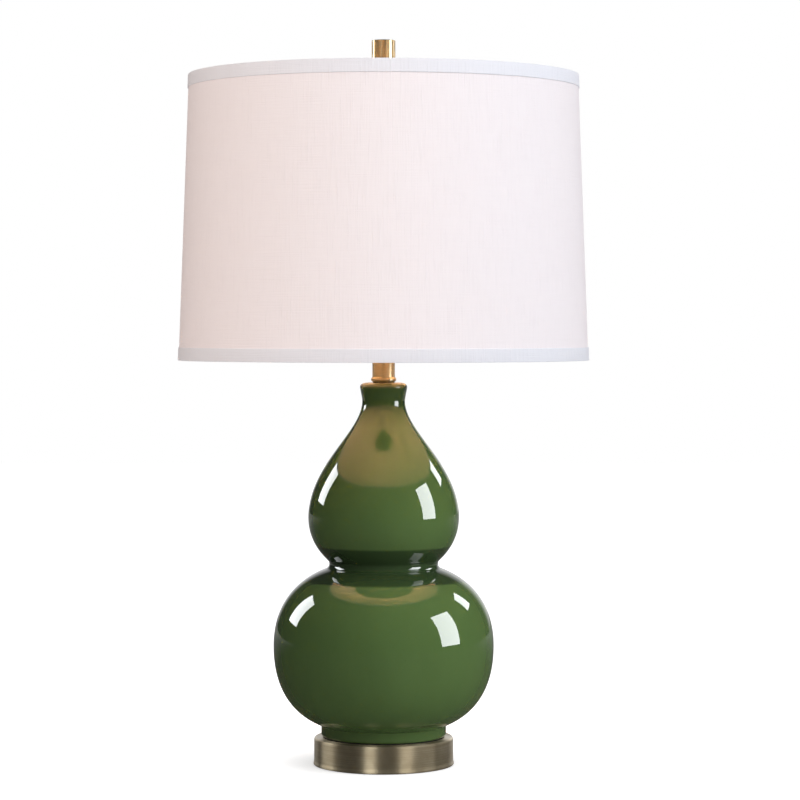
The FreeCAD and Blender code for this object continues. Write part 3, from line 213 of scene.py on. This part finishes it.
def brushed_brass(name, dark, bright, patina, roughness, groove):
    """Brass brushed round the lamp's axis: fine level scratches, with the patina in soft clouds."""
    brass = Finish(name)
    scratch = brass.noise(1.0, stretch=(14, 14, 5200), detail=4.0)
    cloud = brass.between(brass.noise(38.0, detail=5.0), 0.38, 0.66)
    tone = brass.blend(brass.between(scratch, 0.3, 0.7), dark, bright)
    colour = brass.blend(cloud * 0.5, tone, patina)
    return brass.surface(
        Base_Color=colour, Metallic=1.0, Roughness=scratch * 0.06 + cloud * 0.05 + roughness,
        Anisotropic=0.95, Anisotropic_Rotation=0.25, Normal=brass.bump(scratch, groove),
    )


base_low, base_high = (corner.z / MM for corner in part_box("base_cup"))
base_radius, base_wall, edge, rim = 68.4, 1.2, 2.2, 0.7
flare_handle, plumb_handle, flare_height = 2.6, 2.8, 6.0
pipe_hole, lead_hole, lead_height, punch_length = 5.3, 4.8, 13.0, 20
flange_low, flange_inner = 1.6, 58.2
inside = base_radius - base_wall
cup = Section(pipe_hole, base_high - base_wall)
cup.round(base_radius - edge, base_high - edge, edge - base_wall, 90, 0, 4)
cup.to(inside, flange_low + base_wall).to(flange_inner, flange_low + base_wall)
cup.to(flange_inner, flange_low).to(inside, flange_low).to(inside, base_low)
cup.round(base_radius, base_low + rim, rim, -90, 0, 5)
cup.curve(
    base_radius + rim, base_low + flare_handle, base_radius, base_low + plumb_handle,
    base_radius, base_low + flare_height, 8,
)
cup.round(base_radius - edge, base_high - edge, edge, 0, 90, 8).to(pipe_hole, base_high)
antique_brass = brushed_brass(
    "antique_brass", (0.30, 0.255, 0.175), (0.52, 0.46, 0.34), (0.24, 0.195, 0.125), 0.36, 0.000006
)
base = finish_mesh("spun_base", spun(cup), "stand", antique_brass)
punch = bmesh.new()
bmesh.ops.create_cone(
    punch, segments=48, radius1=lead_hole * MM, radius2=lead_hole * MM, depth=punch_length * MM, cap_ends=True
)
bmesh.ops.rotate(punch, verts=punch.verts, matrix=Matrix.Rotation(math.pi / 2, 3, "X"))
bmesh.ops.translate(punch, verts=punch.verts, vec=(0, base_radius * MM, lead_height * MM))
punch_mesh = bpy.data.meshes.new("punch")
punch.to_mesh(punch_mesh)
punch.free()
punch_piece = bpy.data.objects.new("punch", punch_mesh)
bpy.context.scene.collection.objects.link(punch_piece)
bpy.context.view_layer.update()
drilled(base, punch_piece)
base.data.shade_smooth()
base.data.set_sharp_from_angle(angle=math.radians(30))
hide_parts("base_cup")


# ------------------------------------------------------------------ cord bushing, washers, nut and gasket
# A black moulded bushing snaps into the hole at the back. Inside the cup a flat washer, a split washer and a
# hexagon nut on the threaded pipe draw the lamp together, all of zinc-plated steel. Rubber gaskets lie under
# the ceramic foot and on its crown.

def moulded_finish(name, dark, light, roughness, grain=700.0):
    plastic = Finish(name)
    lump = plastic.noise(grain, detail=2.0)
    return plastic.surface(
        Base_Color=plastic.blend(lump, dark, light), Roughness=lump * 0.1 + roughness,
        Normal=plastic.bump(lump, 0.00004),
    )


def plain_metal(name, dark, bright, roughness):
    metal = Finish(name)
    mark = metal.noise(260.0, stretch=(1, 1, 6), detail=5.0)
    return metal.surface(
        Base_Color=metal.blend(mark, dark, bright), Metallic=1.0, Roughness=mark * 0.15 + roughness,
        Normal=metal.bump(mark, 0.00003),
    )


zinc = plain_metal("zinc_plate", (0.42, 0.42, 0.40), (0.66, 0.65, 0.61), 0.22)
dress(moulded_finish("black_bushing", (0.012, 0.012, 0.012), (0.022, 0.022, 0.022), 0.3), "cord_bushing")
dress(zinc, "flat_washer", "lock_washer", "bottom_nut", "threaded_pipe")
gasket_rubber = moulded_finish("gasket_rubber", (0.01, 0.01, 0.01), (0.03, 0.03, 0.03), 0.75)
dress(gasket_rubber, "foot_gasket", "neck_washer")


# ------------------------------------------------------------------ gourd body
# The double gourd: one hollow slip-cast shell with a foot ring, two bellies and a flared lip, dipped in a
# deep green glaze. The glaze is glossy and thin at the lip, and shade is painted into it as darker bands at
# the waist crease and the throat.

wall, crown = 5.0, 6
foot_low, gourd_high = (corner.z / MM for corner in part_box("gourd_body"))
foot_radius, foot_top, foot_round, foot_angle = 61.3, foot_low + 9.9, 2.4, 40.6
foot_inner, foot_well, foot_fillet, foot_reach = 52.3, 4, 1.0, 4.5
belly_radius, belly_height = 108.2, foot_low + 88.8
belly_low_reach, belly_high_reach = 64.6, 59.3
waist_radius, waist_height, waist_round = 53.4, foot_low + 169.7, 5.3
waist_low_angle, waist_high_angle = 64.3, 22.9
waist_low_reach, waist_high_reach = 5.6, 2.0
upper_radius, upper_height = 74.0, foot_low + 214.9
upper_low_reach, upper_high_reach = 27.5, 52
neck_radius, neck_height = 21.05, foot_low + 329.1
neck_low_reach, neck_high_reach = 30, 4.3
lip_radius, lip_height = 23.2, foot_low + 342.9
lip_low_reach, lip_high_reach, lip_handle, lip_inner = 2, 3, 20.0, 13.0
pipe_bore, floor_hole, floor_top = 6.5, 18.0, foot_low + 10
corner_radius, corner_height = 58.4, foot_low + 14.5
corner_handle_radius, corner_handle_height, inner_belly_reach = 66, foot_top + 11, 60


def along(angle, length):
    """Steps out and up for a length that leans so many degrees above level."""
    return length * math.cos(math.radians(angle)), length * math.sin(math.radians(angle))


gourd = Section(floor_hole, foot_low + foot_well).to(foot_inner, foot_low + foot_well)
gourd.to(foot_inner, foot_low)
gourd.round(foot_radius - foot_round, foot_low + foot_round, foot_round, -90, 0, 8)
gourd.round(foot_radius + foot_fillet, foot_top, foot_fillet, 180, 90 + foot_angle, 5)
start = gourd.points[-1]
out, up = along(foot_angle, foot_reach)
gourd.curve(
    start.x + out, start.z + up, belly_radius, belly_height - belly_low_reach,
    belly_radius, belly_height, 44,
)
crease = waist_radius + waist_round
low_out, low_up = along(waist_low_angle, waist_round)
high_out, high_up = along(waist_high_angle, waist_round)
tip_up, tip_out = along(waist_low_angle, waist_low_reach)
gourd.curve(
    belly_radius, belly_height + belly_high_reach,
    crease - low_out + tip_out, waist_height - low_up - tip_up,
    crease - low_out, waist_height - low_up, 44,
)
gourd.round(crease, waist_height, waist_round, 180 + waist_low_angle, 180 - waist_high_angle, 14)
tip_up, tip_out = along(waist_high_angle, waist_high_reach)
gourd.curve(
    crease - high_out + tip_out, waist_height + high_up + tip_up,
    upper_radius, upper_height - upper_low_reach, upper_radius, upper_height, 30,
)
gourd.curve(
    upper_radius, upper_height + upper_high_reach, neck_radius, neck_height - neck_low_reach,
    neck_radius, neck_height, 44,
)
gourd.curve(
    neck_radius, neck_height + neck_high_reach, lip_radius, lip_height - lip_low_reach,
    lip_radius, lip_height, 10,
)
gourd.curve(lip_radius, lip_height + lip_high_reach, lip_handle, gourd_high, lip_inner, gourd_high, 10)
gourd.to(pipe_bore, gourd_high).to(pipe_bore, gourd_high - crown).to(neck_radius - wall, gourd_high - crown)
gourd.to(neck_radius - wall, neck_height)

# The inside passes a wall's thickness within these: radius, height, handle above and handle below.
stations = (
    (neck_radius, neck_height, 0, 28.8),
    (upper_radius, upper_height, 48.8, 22),
    (waist_radius, waist_height, 12, 9),
    (belly_radius, belly_height, 55, inner_belly_reach),
)
for (radius, height, _, drop), (next_radius, next_height, rise, _) in zip(stations, stations[1:]):
    gourd.curve(
        radius - wall, height - drop, next_radius - wall, next_height + rise,
        next_radius - wall, next_height, 12,
    )
gourd.curve(
    belly_radius - wall, belly_height - inner_belly_reach, corner_handle_radius, corner_handle_height,
    corner_radius, corner_height, 12,
)
gourd.to(foot_inner, floor_top).to(floor_hole, floor_top)


def glaze_finish():
    """The glaze, with the heights of its painted shade bands and its thin lip in millimetres off the table.
    """
    crease_low, crease_high, crease_fade = 180.5, 216.5, 2.0
    throat_low, throat_high = 332, 354
    lip_fade, lip_edge = 2, 0.6
    glaze = Finish("green_glaze")
    height = glaze.node("SeparateXYZ", None, {"Vector": glaze.node("TexCoord", out="Object")}, out="Z")
    pool = glaze.noise(26.0, stretch=(1, 1, 0.4), detail=3.0)
    speck = glaze.between(glaze.noise(900.0, detail=2.0), 0.68, 0.76)
    body = glaze.blend(pool, (0.064, 0.114, 0.034), (0.082, 0.142, 0.045))
    spotted = glaze.blend(speck * 0.35, body, (0.016, 0.026, 0.010))
    # Painted shade: a band round the waist crease is darkened, for the shade that falls in the crease.
    crease_foot = glaze.between(height, crease_low * MM, (crease_low + crease_fade) * MM)
    crease = crease_foot * glaze.between(height, crease_high * MM, (crease_high - crease_fade) * MM)
    shaded_glaze = glaze.blend(crease * 0.95, spotted, (0.026, 0.048, 0.018))
    # Painted shade: the throat is darkened too, against the light that the lit shade throws on it.
    throat = glaze.between(height, throat_low * MM, throat_high * MM)
    shaded_glaze = glaze.blend(throat * 0.75, shaded_glaze, (0.026, 0.056, 0.018))
    lip = glaze.between(height, (lip_height - lip_fade) * MM, (gourd_high - lip_edge) * MM)
    thin = glaze.blend(lip * glaze.between(pool, 0.3, 0.6), shaded_glaze, (0.17, 0.135, 0.05))
    ripple = glaze.noise(55.0, detail=1.5)
    return glaze.surface(
        Base_Color=thin, Roughness=pool * 0.02 + 0.018, IOR=1.52,
        Coat_Weight=0.2, Coat_Roughness=0.015, Normal=glaze.bump(ripple, 0.00008),
    )


glazed_gourd = finish_mesh(
    "glazed_gourd", spun(gourd, steps=224), "stand", glaze_finish(), sharp=50.0
)
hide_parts("gourd_body")


# ------------------------------------------------------------------ neck
# A beaded check ring covers the top of the ceramic, a plain tube of satin brass rises from it, and a plate on
# the tube carries the harp and the socket. All are clamped by the pipe that runs through the lamp.

satin_brass = brushed_brass(
    "satin_brass", (0.41, 0.31, 0.18), (0.62, 0.51, 0.33), (0.34, 0.25, 0.13), 0.30, 0.000006
)
ring_low, ring_high = (corner.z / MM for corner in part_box("check_ring"))
tube_low, tube_high = (corner.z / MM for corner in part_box("neck_tube"))
tube_radius, tube_wall, bulge, ring_bore, slip = 11.1, 0.9, 1.3, 5.3, 0.05
half = (ring_high - ring_low) / 2
bead_round = (half ** 2 + bulge ** 2) / (2 * bulge)
reach = math.degrees(math.asin(half / bead_round))
bead = Section(ring_bore, ring_low)
bead.round(tube_radius + bulge - bead_round, ring_low + half, bead_round, -reach, reach, 14)
bead.to(tube_radius + slip, tube_low).to(ring_bore, tube_low)
bead_ring = finish_mesh("bead_ring", spun(bead), "stand", satin_brass)
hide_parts("check_ring")
tube = Section(tube_radius - tube_wall, tube_low).to(tube_radius, tube_low).to(tube_radius, tube_high)
tube.to(tube_radius - tube_wall, tube_high)
brass_tube = finish_mesh("brass_tube", spun(tube), "stand", satin_brass)
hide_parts("neck_tube")
dress(satin_brass, "neck_cap")


# ------------------------------------------------------------------ harp
# A bent strap clamped under the socket, a wire bow that locks on to it with two sleeves, and a riveted swivel
# with the threaded stud for the shade. All are brass-plated steel, made on presses and wire benders.

harp_brass = plain_metal("harp_brass", (0.42, 0.27, 0.12), (0.66, 0.46, 0.24), 0.2)


def smoothed(name, node, body, material):
    """A copy of a CAD node with its loose triangles merged, so that its round faces shade smoothly."""
    shape = bmesh.new()
    shape.from_mesh(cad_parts[node].data)
    piece = finish_mesh(name, shape, body, material)
    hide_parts(node)
    return piece


smoothed("saddle_strap", "harp_saddle", "stand", harp_brass)
smoothed("harp_bow", "harp_wire", "harp", harp_brass)
smoothed("left_sleeve", "harp_sleeve_left", "sleeve_left", harp_brass)
smoothed("right_sleeve", "harp_sleeve_right", "sleeve_right", harp_brass)
smoothed("swivel_stud", "harp_swivel", "swivel", harp_brass)


# ------------------------------------------------------------------ socket and switch
# A pressed brass cap and shell hold the moulded switch block and the screw shell for the bulb, with a fibre
# liner between. A fluted black knob at the front turns the switch.

socket_brass = plain_metal("socket_brass", (0.50, 0.36, 0.18), (0.72, 0.55, 0.30), 0.16)
smoothed("pressed_cap", "socket_cap", "stand", socket_brass)
smoothed("pressed_shell", "socket_shell", "stand", socket_brass)
dress(zinc, "set_screw", "switch_shaft", "terminal_screws")
fibre_board = moulded_finish("fibre_board", (0.018, 0.014, 0.011), (0.045, 0.033, 0.024), 0.7, 1500.0)
dress(fibre_board, "socket_liner")
dress(moulded_finish("phenolic", (0.008, 0.007, 0.007), (0.022, 0.018, 0.017), 0.42), "socket_block")
contact_metal = plain_metal("contact_metal", (0.60, 0.55, 0.45), (0.80, 0.74, 0.62), 0.2)
dress(contact_metal, "socket_screw_shell", "socket_contact")
knob_plastic = moulded_finish("knob_plastic", (0.008, 0.008, 0.008), (0.016, 0.016, 0.016), 0.28)
smoothed("fluted_knob", "switch_knob", "knob", knob_plastic)


# ------------------------------------------------------------------ bulb
# A pear-shaped bulb with a frosted glass globe that glows warm, a threaded aluminium cap, a black glass
# insulator and a soldered tip. It screws into the socket.

def globe_finish():
    glass = Finish("frosted_globe")
    frost = glass.noise(1200.0, detail=2.0)
    return glass.surface(
        Base_Color=glass.blend(frost, (0.80, 0.78, 0.72), (0.88, 0.86, 0.82)), Roughness=frost * 0.1 + 0.3,
        Emission_Color=glass.blend(frost, (1.0, 0.72, 0.42), (1.0, 0.80, 0.52)), Emission_Strength=0.55,
    )


globe = smoothed("frosted_globe", "bulb_globe", "bulb", globe_finish())
aluminium = plain_metal("cap_aluminium", (0.58, 0.58, 0.57), (0.80, 0.79, 0.77), 0.24)
smoothed("screw_cap", "bulb_cap", "bulb", aluminium)
dress(moulded_finish("black_glass", (0.01, 0.01, 0.012), (0.02, 0.02, 0.024), 0.12), "bulb_insulator")
dress(plain_metal("solder", (0.34, 0.34, 0.33), (0.52, 0.51, 0.50), 0.4), "bulb_contact")


# ------------------------------------------------------------------ shade frame
# Two wire rings and a three-armed spider of steel wire, enamelled white. The spider's washer drops over the
# swivel's stud and carries the whole shade.

enamel = moulded_finish("white_enamel", (0.70, 0.69, 0.66), (0.80, 0.79, 0.77), 0.3, 120.0)
smoothed("wire_spider", "shade_spider", "shade", enamel)
smoothed("top_wire_ring", "shade_top_ring", "shade", enamel)
smoothed("bottom_wire_ring", "shade_bottom_ring", "shade", enamel)


# ------------------------------------------------------------------ shade liner and linen cover
# The drum is white linen laminated to a translucent plastic liner, rolled into a slight cone and glued to the
# rings. The linen has uneven threads with slubs. The lit lamp's glow through it is painted on as a faint warm
# emission.

cover_low, cover_high = (corner.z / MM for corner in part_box("shade_cover"))
shade_low, shade_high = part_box("shade_bottom_hem")[0].z / MM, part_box("shade_top_hem")[1].z / MM
top_radius, bottom_radius, cover_wall, liner_wall = 190.0, 200.4, 0.7, 0.5


def cone_radius(height):
    """Outside of the linen at a height."""
    share = (shade_high - height) / (shade_high - shade_low)
    return top_radius + (bottom_radius - top_radius) * share


def drum(outer_inset, inner_inset):
    """The section of a thin conical wall, inset from the outside of the linen."""
    wall_section = Section(cone_radius(cover_low) - inner_inset, cover_low)
    wall_section.to(cone_radius(cover_low) - outer_inset, cover_low)
    rows = 12
    for row in range(1, rows + 1):
        height = cover_low + (cover_high - cover_low) * row / rows
        wall_section.to(cone_radius(height) - outer_inset, height)
    return wall_section.to(cone_radius(cover_high) - inner_inset, cover_high)


def unroll(shape):
    """Lays the piece's own map flat, in metres round and up the drum, with its seam at the back."""
    layer = shape.loops.layers.uv.new("cloth")
    for face in shape.faces:
        middle = face.calc_center_median()
        turn = math.atan2(middle.x, -middle.y)
        for loop in face.loops:
            spot = loop.vert.co
            angle = math.atan2(spot.x, -spot.y)
            angle += FULL_TURN * round((turn - angle) / FULL_TURN)
            loop[layer].uv = (angle * bottom_radius * MM, spot.z)


def linen_finish(name, white, glow, thread=1150.0, rough=1.0):
    """Linen on the piece's own map: warp up the drum, weft round it, and thick slubs in both."""
    linen = Finish(name)
    cloth = linen.node("UVMap", {"uv_map": "cloth"})
    warp = linen.noise(1.0, stretch=(thread, 22, 1), detail=2.0, place=cloth)
    weft = linen.noise(1.0, stretch=(22, thread, 1), detail=2.0, place=cloth)
    slub = linen.between(linen.noise(1.0, stretch=(420, 26, 1), detail=3.0, place=cloth), 0.50, 0.80)
    cross = linen.between(linen.noise(1.0, stretch=(14, 520, 1), detail=3.0, place=cloth), 0.56, 0.82)
    mark = (slub * 0.09 + cross * 0.04 + (warp + weft) * 0.08) * rough
    marked_tone, marked_glow = 0.77, 0.55
    colour = linen.blend(mark, white, tuple(marked_tone * part for part in white))
    light = linen.blend(mark, glow, tuple(marked_glow * part for part in glow))
    # The glow is painted light: a faint warm emission that stands for the lit lamp shining through the cloth.
    return linen.surface(
        Base_Color=colour, Roughness=0.9, Specular_IOR_Level=0.2, Sheen_Weight=0.15,
        Emission_Color=light, Emission_Strength=1.0,
        Normal=linen.bump(warp + weft + slub, 0.00025),
    )


def liner_finish():
    liner = Finish("liner_plastic")
    grain = liner.noise(14.0, detail=2.0)
    return liner.surface(
        Base_Color=liner.blend(grain, (0.80, 0.77, 0.70), (0.84, 0.82, 0.76)), Roughness=0.42,
    )


cover_shape = spun(drum(0, cover_wall), steps=240)
unroll(cover_shape)
linen = linen_finish("white_linen", (0.86, 0.85, 0.885), (0.10, 0.064, 0.056))
linen_cover = finish_mesh("linen_cover", cover_shape, "shade", linen)
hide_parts("shade_cover")
liner = finish_mesh(
    "plastic_liner", spun(drum(cover_wall, cover_wall + liner_wall), steps=240),
    "shade", liner_finish(),
)
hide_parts("shade_liner")


# ------------------------------------------------------------------ hem tapes
# A tape of the same linen, cut on the straight and folded over each edge of the drum. It is glued down
# outside and tucked in behind the wire ring.

tape, tape_width, tuck, wire_room = 0.8, 12.7, 6.0, 3.8
edge_share, edge_drop = 0.7, 0.3
ring_inset = cover_wall + liner_wall + wire_room


def hem(edge_height, way):
    """The folded tape's section. It leads away from the edge, down for way = -1 and up for way = 1."""
    wide, turned_in = edge_height + tape_width * way, edge_height + tuck * way
    inner = cone_radius(edge_height) - ring_inset
    outer, middle = cone_radius(edge_height) + tape, edge_height + tape / 2 * way
    fold = Section(cone_radius(wide), wide).to(cone_radius(wide) + tape * edge_share, wide)
    fold.to(cone_radius(wide) + tape, wide - edge_drop * way)
    fold.round(outer - tape / 2, middle, tape / 2, 0, -90 * way, 5)
    fold.round(inner - tape / 2, middle, tape / 2, -90 * way, -180 * way, 5)
    fold.to(inner - tape, turned_in).to(inner, turned_in).to(inner, edge_height + tape * way)
    return fold.to(cone_radius(edge_height), edge_height + tape * way)


hem_tapes = []
for label, edge_height, way in (("top", shade_high, -1), ("bottom", shade_low, 1)):
    hem_shape = spun(hem(edge_height, way), steps=240)
    unroll(hem_shape)
    tape_finish = linen_finish(
        f"{label}_tape_linen", (0.84, 0.86, 0.92), (0.02, 0.018, 0.02), thread=1400.0, rough=0.5
    )
    hem_tape = finish_mesh(f"{label}_hem_tape", hem_shape, "shade", tape_finish)
    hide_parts(f"shade_{label}_hem")
    hem_tapes.append(hem_tape)


# ------------------------------------------------------------------ finial
# A plain cylinder turned from brass bar, with lightly broken edges and a threaded hole from below. It screws
# down on the stud and clamps the shade.

finial_low, finial_high = (corner.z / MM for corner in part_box("finial"))
finial_radius, broken, thread_radius, thread_depth = 11.6, 0.6, 3.2, 17
bar = Section(thread_radius, finial_low)
bar.round(finial_radius - broken, finial_low + broken, broken, -90, 0, 4)
bar.round(finial_radius - broken, finial_high - broken, broken, 0, 90, 4)
bar.to(0, finial_high).to(0, finial_low + thread_depth).to(thread_radius, finial_low + thread_depth)
finial_brass = brushed_brass(
    "finial_brass", (0.36, 0.28, 0.16), (0.55, 0.45, 0.28), (0.29, 0.21, 0.11), 0.26, 0.000006
)
turned_finial = finish_mesh("turned_finial", spun(bar), "finial", finial_brass)
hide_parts("finial")


# ------------------------------------------------------------------ floor, light and camera
# A white sweep in a studio. Windows and cards show only in the pieces they are linked to, soft fills light
# the rest, and a warm lamp inside the shade stands for the lit bulb. The camera stands in front, a little
# above the shade's lower edge.

def floor_finish():
    """White paper, lifted to white for the camera but for the foot's shadow.

    Reflections see its near part dim and its far part white.
    """
    floor = Finish("white_sweep")
    seen = floor.node("LightPath", out="Is Camera Ray")
    mirrored = floor.node("LightPath", out="Is Glossy Ray")
    far = floor.node("SeparateXYZ", None, {"Vector": floor.node("TexCoord", out="Object")}, out="Y")
    paper = floor.blend(floor.between(far, 0.4, 2.4), (0.11, 0.11, 0.10), (0.8, 0.8, 0.8))
    paint = floor.node("BsdfDiffuse", None, {"Color": floor.blend(mirrored, (0.7, 0.7, 0.7), paper)})
    spot = floor.node("TexCoord", out="Object")
    spread = floor.node("VectorMath", {"operation": "LENGTH"}, {0: spot}, out=1)
    lift = floor.blend(floor.between(spread, 0.06, 0.13), (0.55, 0.55, 0.55), (1.0, 1.0, 1.0))
    white = floor.node("Emission", None, {"Color": lift, "Strength": 1.0})
    lifted = floor.node("AddShader", None, {0: paint, 1: white})
    mixed = floor.node("MixShader", None, {0: seen, 1: paint, 2: lifted})
    floor.node("OutputMaterial", None, {"Surface": mixed})
    return floor.material


floor_shape = bmesh.new()
bmesh.ops.create_grid(floor_shape, x_segments=1, y_segments=1, size=6.0)
floor_mesh = bpy.data.meshes.new("sweep")
floor_shape.to_mesh(floor_mesh)
floor_shape.free()
floor_mesh.materials.append(floor_finish())
sweep = bpy.data.objects.new("sweep", floor_mesh)
bpy.context.scene.collection.objects.link(sweep)


class Sky(Finish):
    """The world's shader tree, built with the same calls as a finish."""

    def __init__(self, world):
        self.tree = world.node_tree
        self.tree.nodes.clear()


world = bpy.data.worlds.new("studio")
world.use_nodes = True
bpy.context.scene.world = world
sky = Sky(world)
camera_ray = sky.node("LightPath", out="Is Camera Ray")
glossy_ray = sky.node("LightPath", out="Is Glossy Ray")
place = sky.node("TexCoord", out="Generated")
right = sky.node("SeparateXYZ", None, {"Vector": place}, out="X")
ahead = sky.node("SeparateXYZ", None, {"Vector": place}, out="Y")
backdrop = sky.between(ahead + right * 0.06, 0.88, 0.98)
mirrored = sky.blend(backdrop, (0.035, 0.035, 0.035), (0.9, 0.9, 0.92))
side = sky.blend(sky.between(right, -0.8, 0.5), (0.20, 0.19, 0.19), (0.36, 0.36, 0.37))
room = sky.blend(glossy_ray, side, mirrored)
colour = sky.blend(camera_ray, room, (1.0, 1.0, 1.0))
background = sky.node("Background", None, {"Color": colour, "Strength": 1.0})
sky.node("OutputWorld", None, {"Surface": background})

polished = bpy.data.collections.new("polished_pieces")
slim_brass = bpy.data.collections.new("slim_brass_pieces")
foot_brass = bpy.data.collections.new("foot_brass")
cloth = bpy.data.collections.new("cloth_pieces")
for group, pieces in (
    (polished, (bead_ring, brass_tube, turned_finial, glazed_gourd)),
    (slim_brass, (bead_ring, brass_tube, turned_finial)),
    (foot_brass, (base,)),
    (cloth, (linen_cover, *hem_tapes)),
):
    for piece in pieces:
        group.objects.link(piece)


def soft_box(name, azimuths, elevations, radiance, tint=(1.0, 1.0, 1.0), lit=None, mirrored=False, level=0.2):
    """A rectangular lamp that fills these angles as seen from the axis at a level. Azimuth 90 is the right.

    A mirrored one only shows in reflections, and the others light without showing in any. One that is linked
    reaches no other pieces.
    """
    distance = 2.4
    turn = math.radians(sum(azimuths) / 2)
    climb = math.radians(sum(elevations) / 2)
    half_wide = math.radians(azimuths[1] - azimuths[0]) / 2 * math.cos(climb)
    half_tall = math.radians(elevations[1] - elevations[0]) / 2
    lamp = bpy.data.lights.new(name, "AREA")
    lamp.shape = "RECTANGLE"
    lamp.size = 2 * distance * math.tan(half_wide)
    lamp.size_y = 2 * distance * math.tan(half_tall)
    lamp.energy = radiance * math.pi * lamp.size * lamp.size_y
    lamp.color = tint
    holder = bpy.data.objects.new(name, lamp)
    way = Vector((math.sin(turn) * math.cos(climb), -math.cos(turn) * math.cos(climb), math.sin(climb)))
    holder.location = Vector((0, 0, level)) + way * distance
    holder.rotation_euler = (-way).to_track_quat("-Z", "Y").to_euler()
    bpy.context.scene.collection.objects.link(holder)
    holder.visible_diffuse = not mirrored
    holder.visible_glossy = mirrored
    if lit:
        holder.light_linking.receiver_collection = lit


cool, warm = (0.94, 0.97, 1.0), (1.0, 0.97, 0.91)
soft_box("left_window", (-126, -106), (10, 37), 10, cool, polished, True)
soft_box("right_window", (61, 86), (0, 36), 13, cool, polished, True)
soft_box("far_window", (117, 131), (22, 37), 9, cool, polished, True)
for name, azimuths, foot_radiance, slim_radiance in (
    ("left_card", (-123, -89), 2.2, 0.6),
    ("left_wall", (-88, -32), 0.25, 0.42),
    ("front_card", (-31, -13), 4.4, 1.3),
    ("front_wall", (-12, 26), 0.5, 0.42),
    ("right_card", (27, 50), 4.4, 1.7),
    ("right_wall", (51, 96), 1.3, 0.42),
    ("far_card", (98, 134), 0.7, 0.8),
    ("back_left_card", (-168, -136), 1.0, 0.3),
    ("back_right_card", (138, 168), 1.4, 0.3),
):
    soft_box(f"{name}_foot", azimuths, (-4, 34), foot_radiance, warm, foot_brass, True)
    soft_box(f"{name}_slim", azimuths, (-30, 34), slim_radiance, warm, slim_brass, True, level=0.5)
soft_box("key_fill", (35, 85), (10, 50), 3.0, (0.98, 0.98, 1.0), level=0.4)
soft_box("glaze_key", (30, 80), (-10, 30), 2.2, lit=polished)
soft_box("front_fill", (-25, 25), (25, 55), 1.8, level=0.4)
soft_box("cloth_fill", (-70, -30), (0, 30), 3.6, (1.0, 0.80, 0.66), cloth, level=0.5)

glow = bpy.data.lights.new("bulb_light", "POINT")
glow.energy, glow.color, glow.shadow_soft_size = 3.4, (1.0, 0.52, 0.23), 0.03
glow_holder = bpy.data.objects.new("bulb_light", glow)
bulb_middle = 0.625
glow_holder.location = (0, 0, bulb_middle)
shaded = bpy.data.collections.new("shaded_from_the_bulb")
for position, piece in enumerate((glazed_gourd, globe)):
    shaded.objects.link(piece)
    shaded.collection_objects[position].light_linking.link_state = "EXCLUDE"
glow_holder.light_linking.receiver_collection = shaded
bpy.context.scene.collection.objects.link(glow_holder)

camera = bpy.data.cameras.new("camera")
camera.lens, camera.sensor_width = 127.81, 36.0
camera_side, stand_off, camera_height, tilt = 0.01606, 2.7851, 0.43225, 1.519
camera_holder = bpy.data.objects.new("camera", camera)
camera_holder.location = (camera_side, -stand_off, camera_height)
camera_holder.rotation_euler = (math.radians(90 - tilt), 0, 0)
bpy.context.scene.collection.objects.link(camera_holder)
bpy.context.scene.camera = camera_holder
bpy.context.scene.view_settings.view_transform = "Standard"
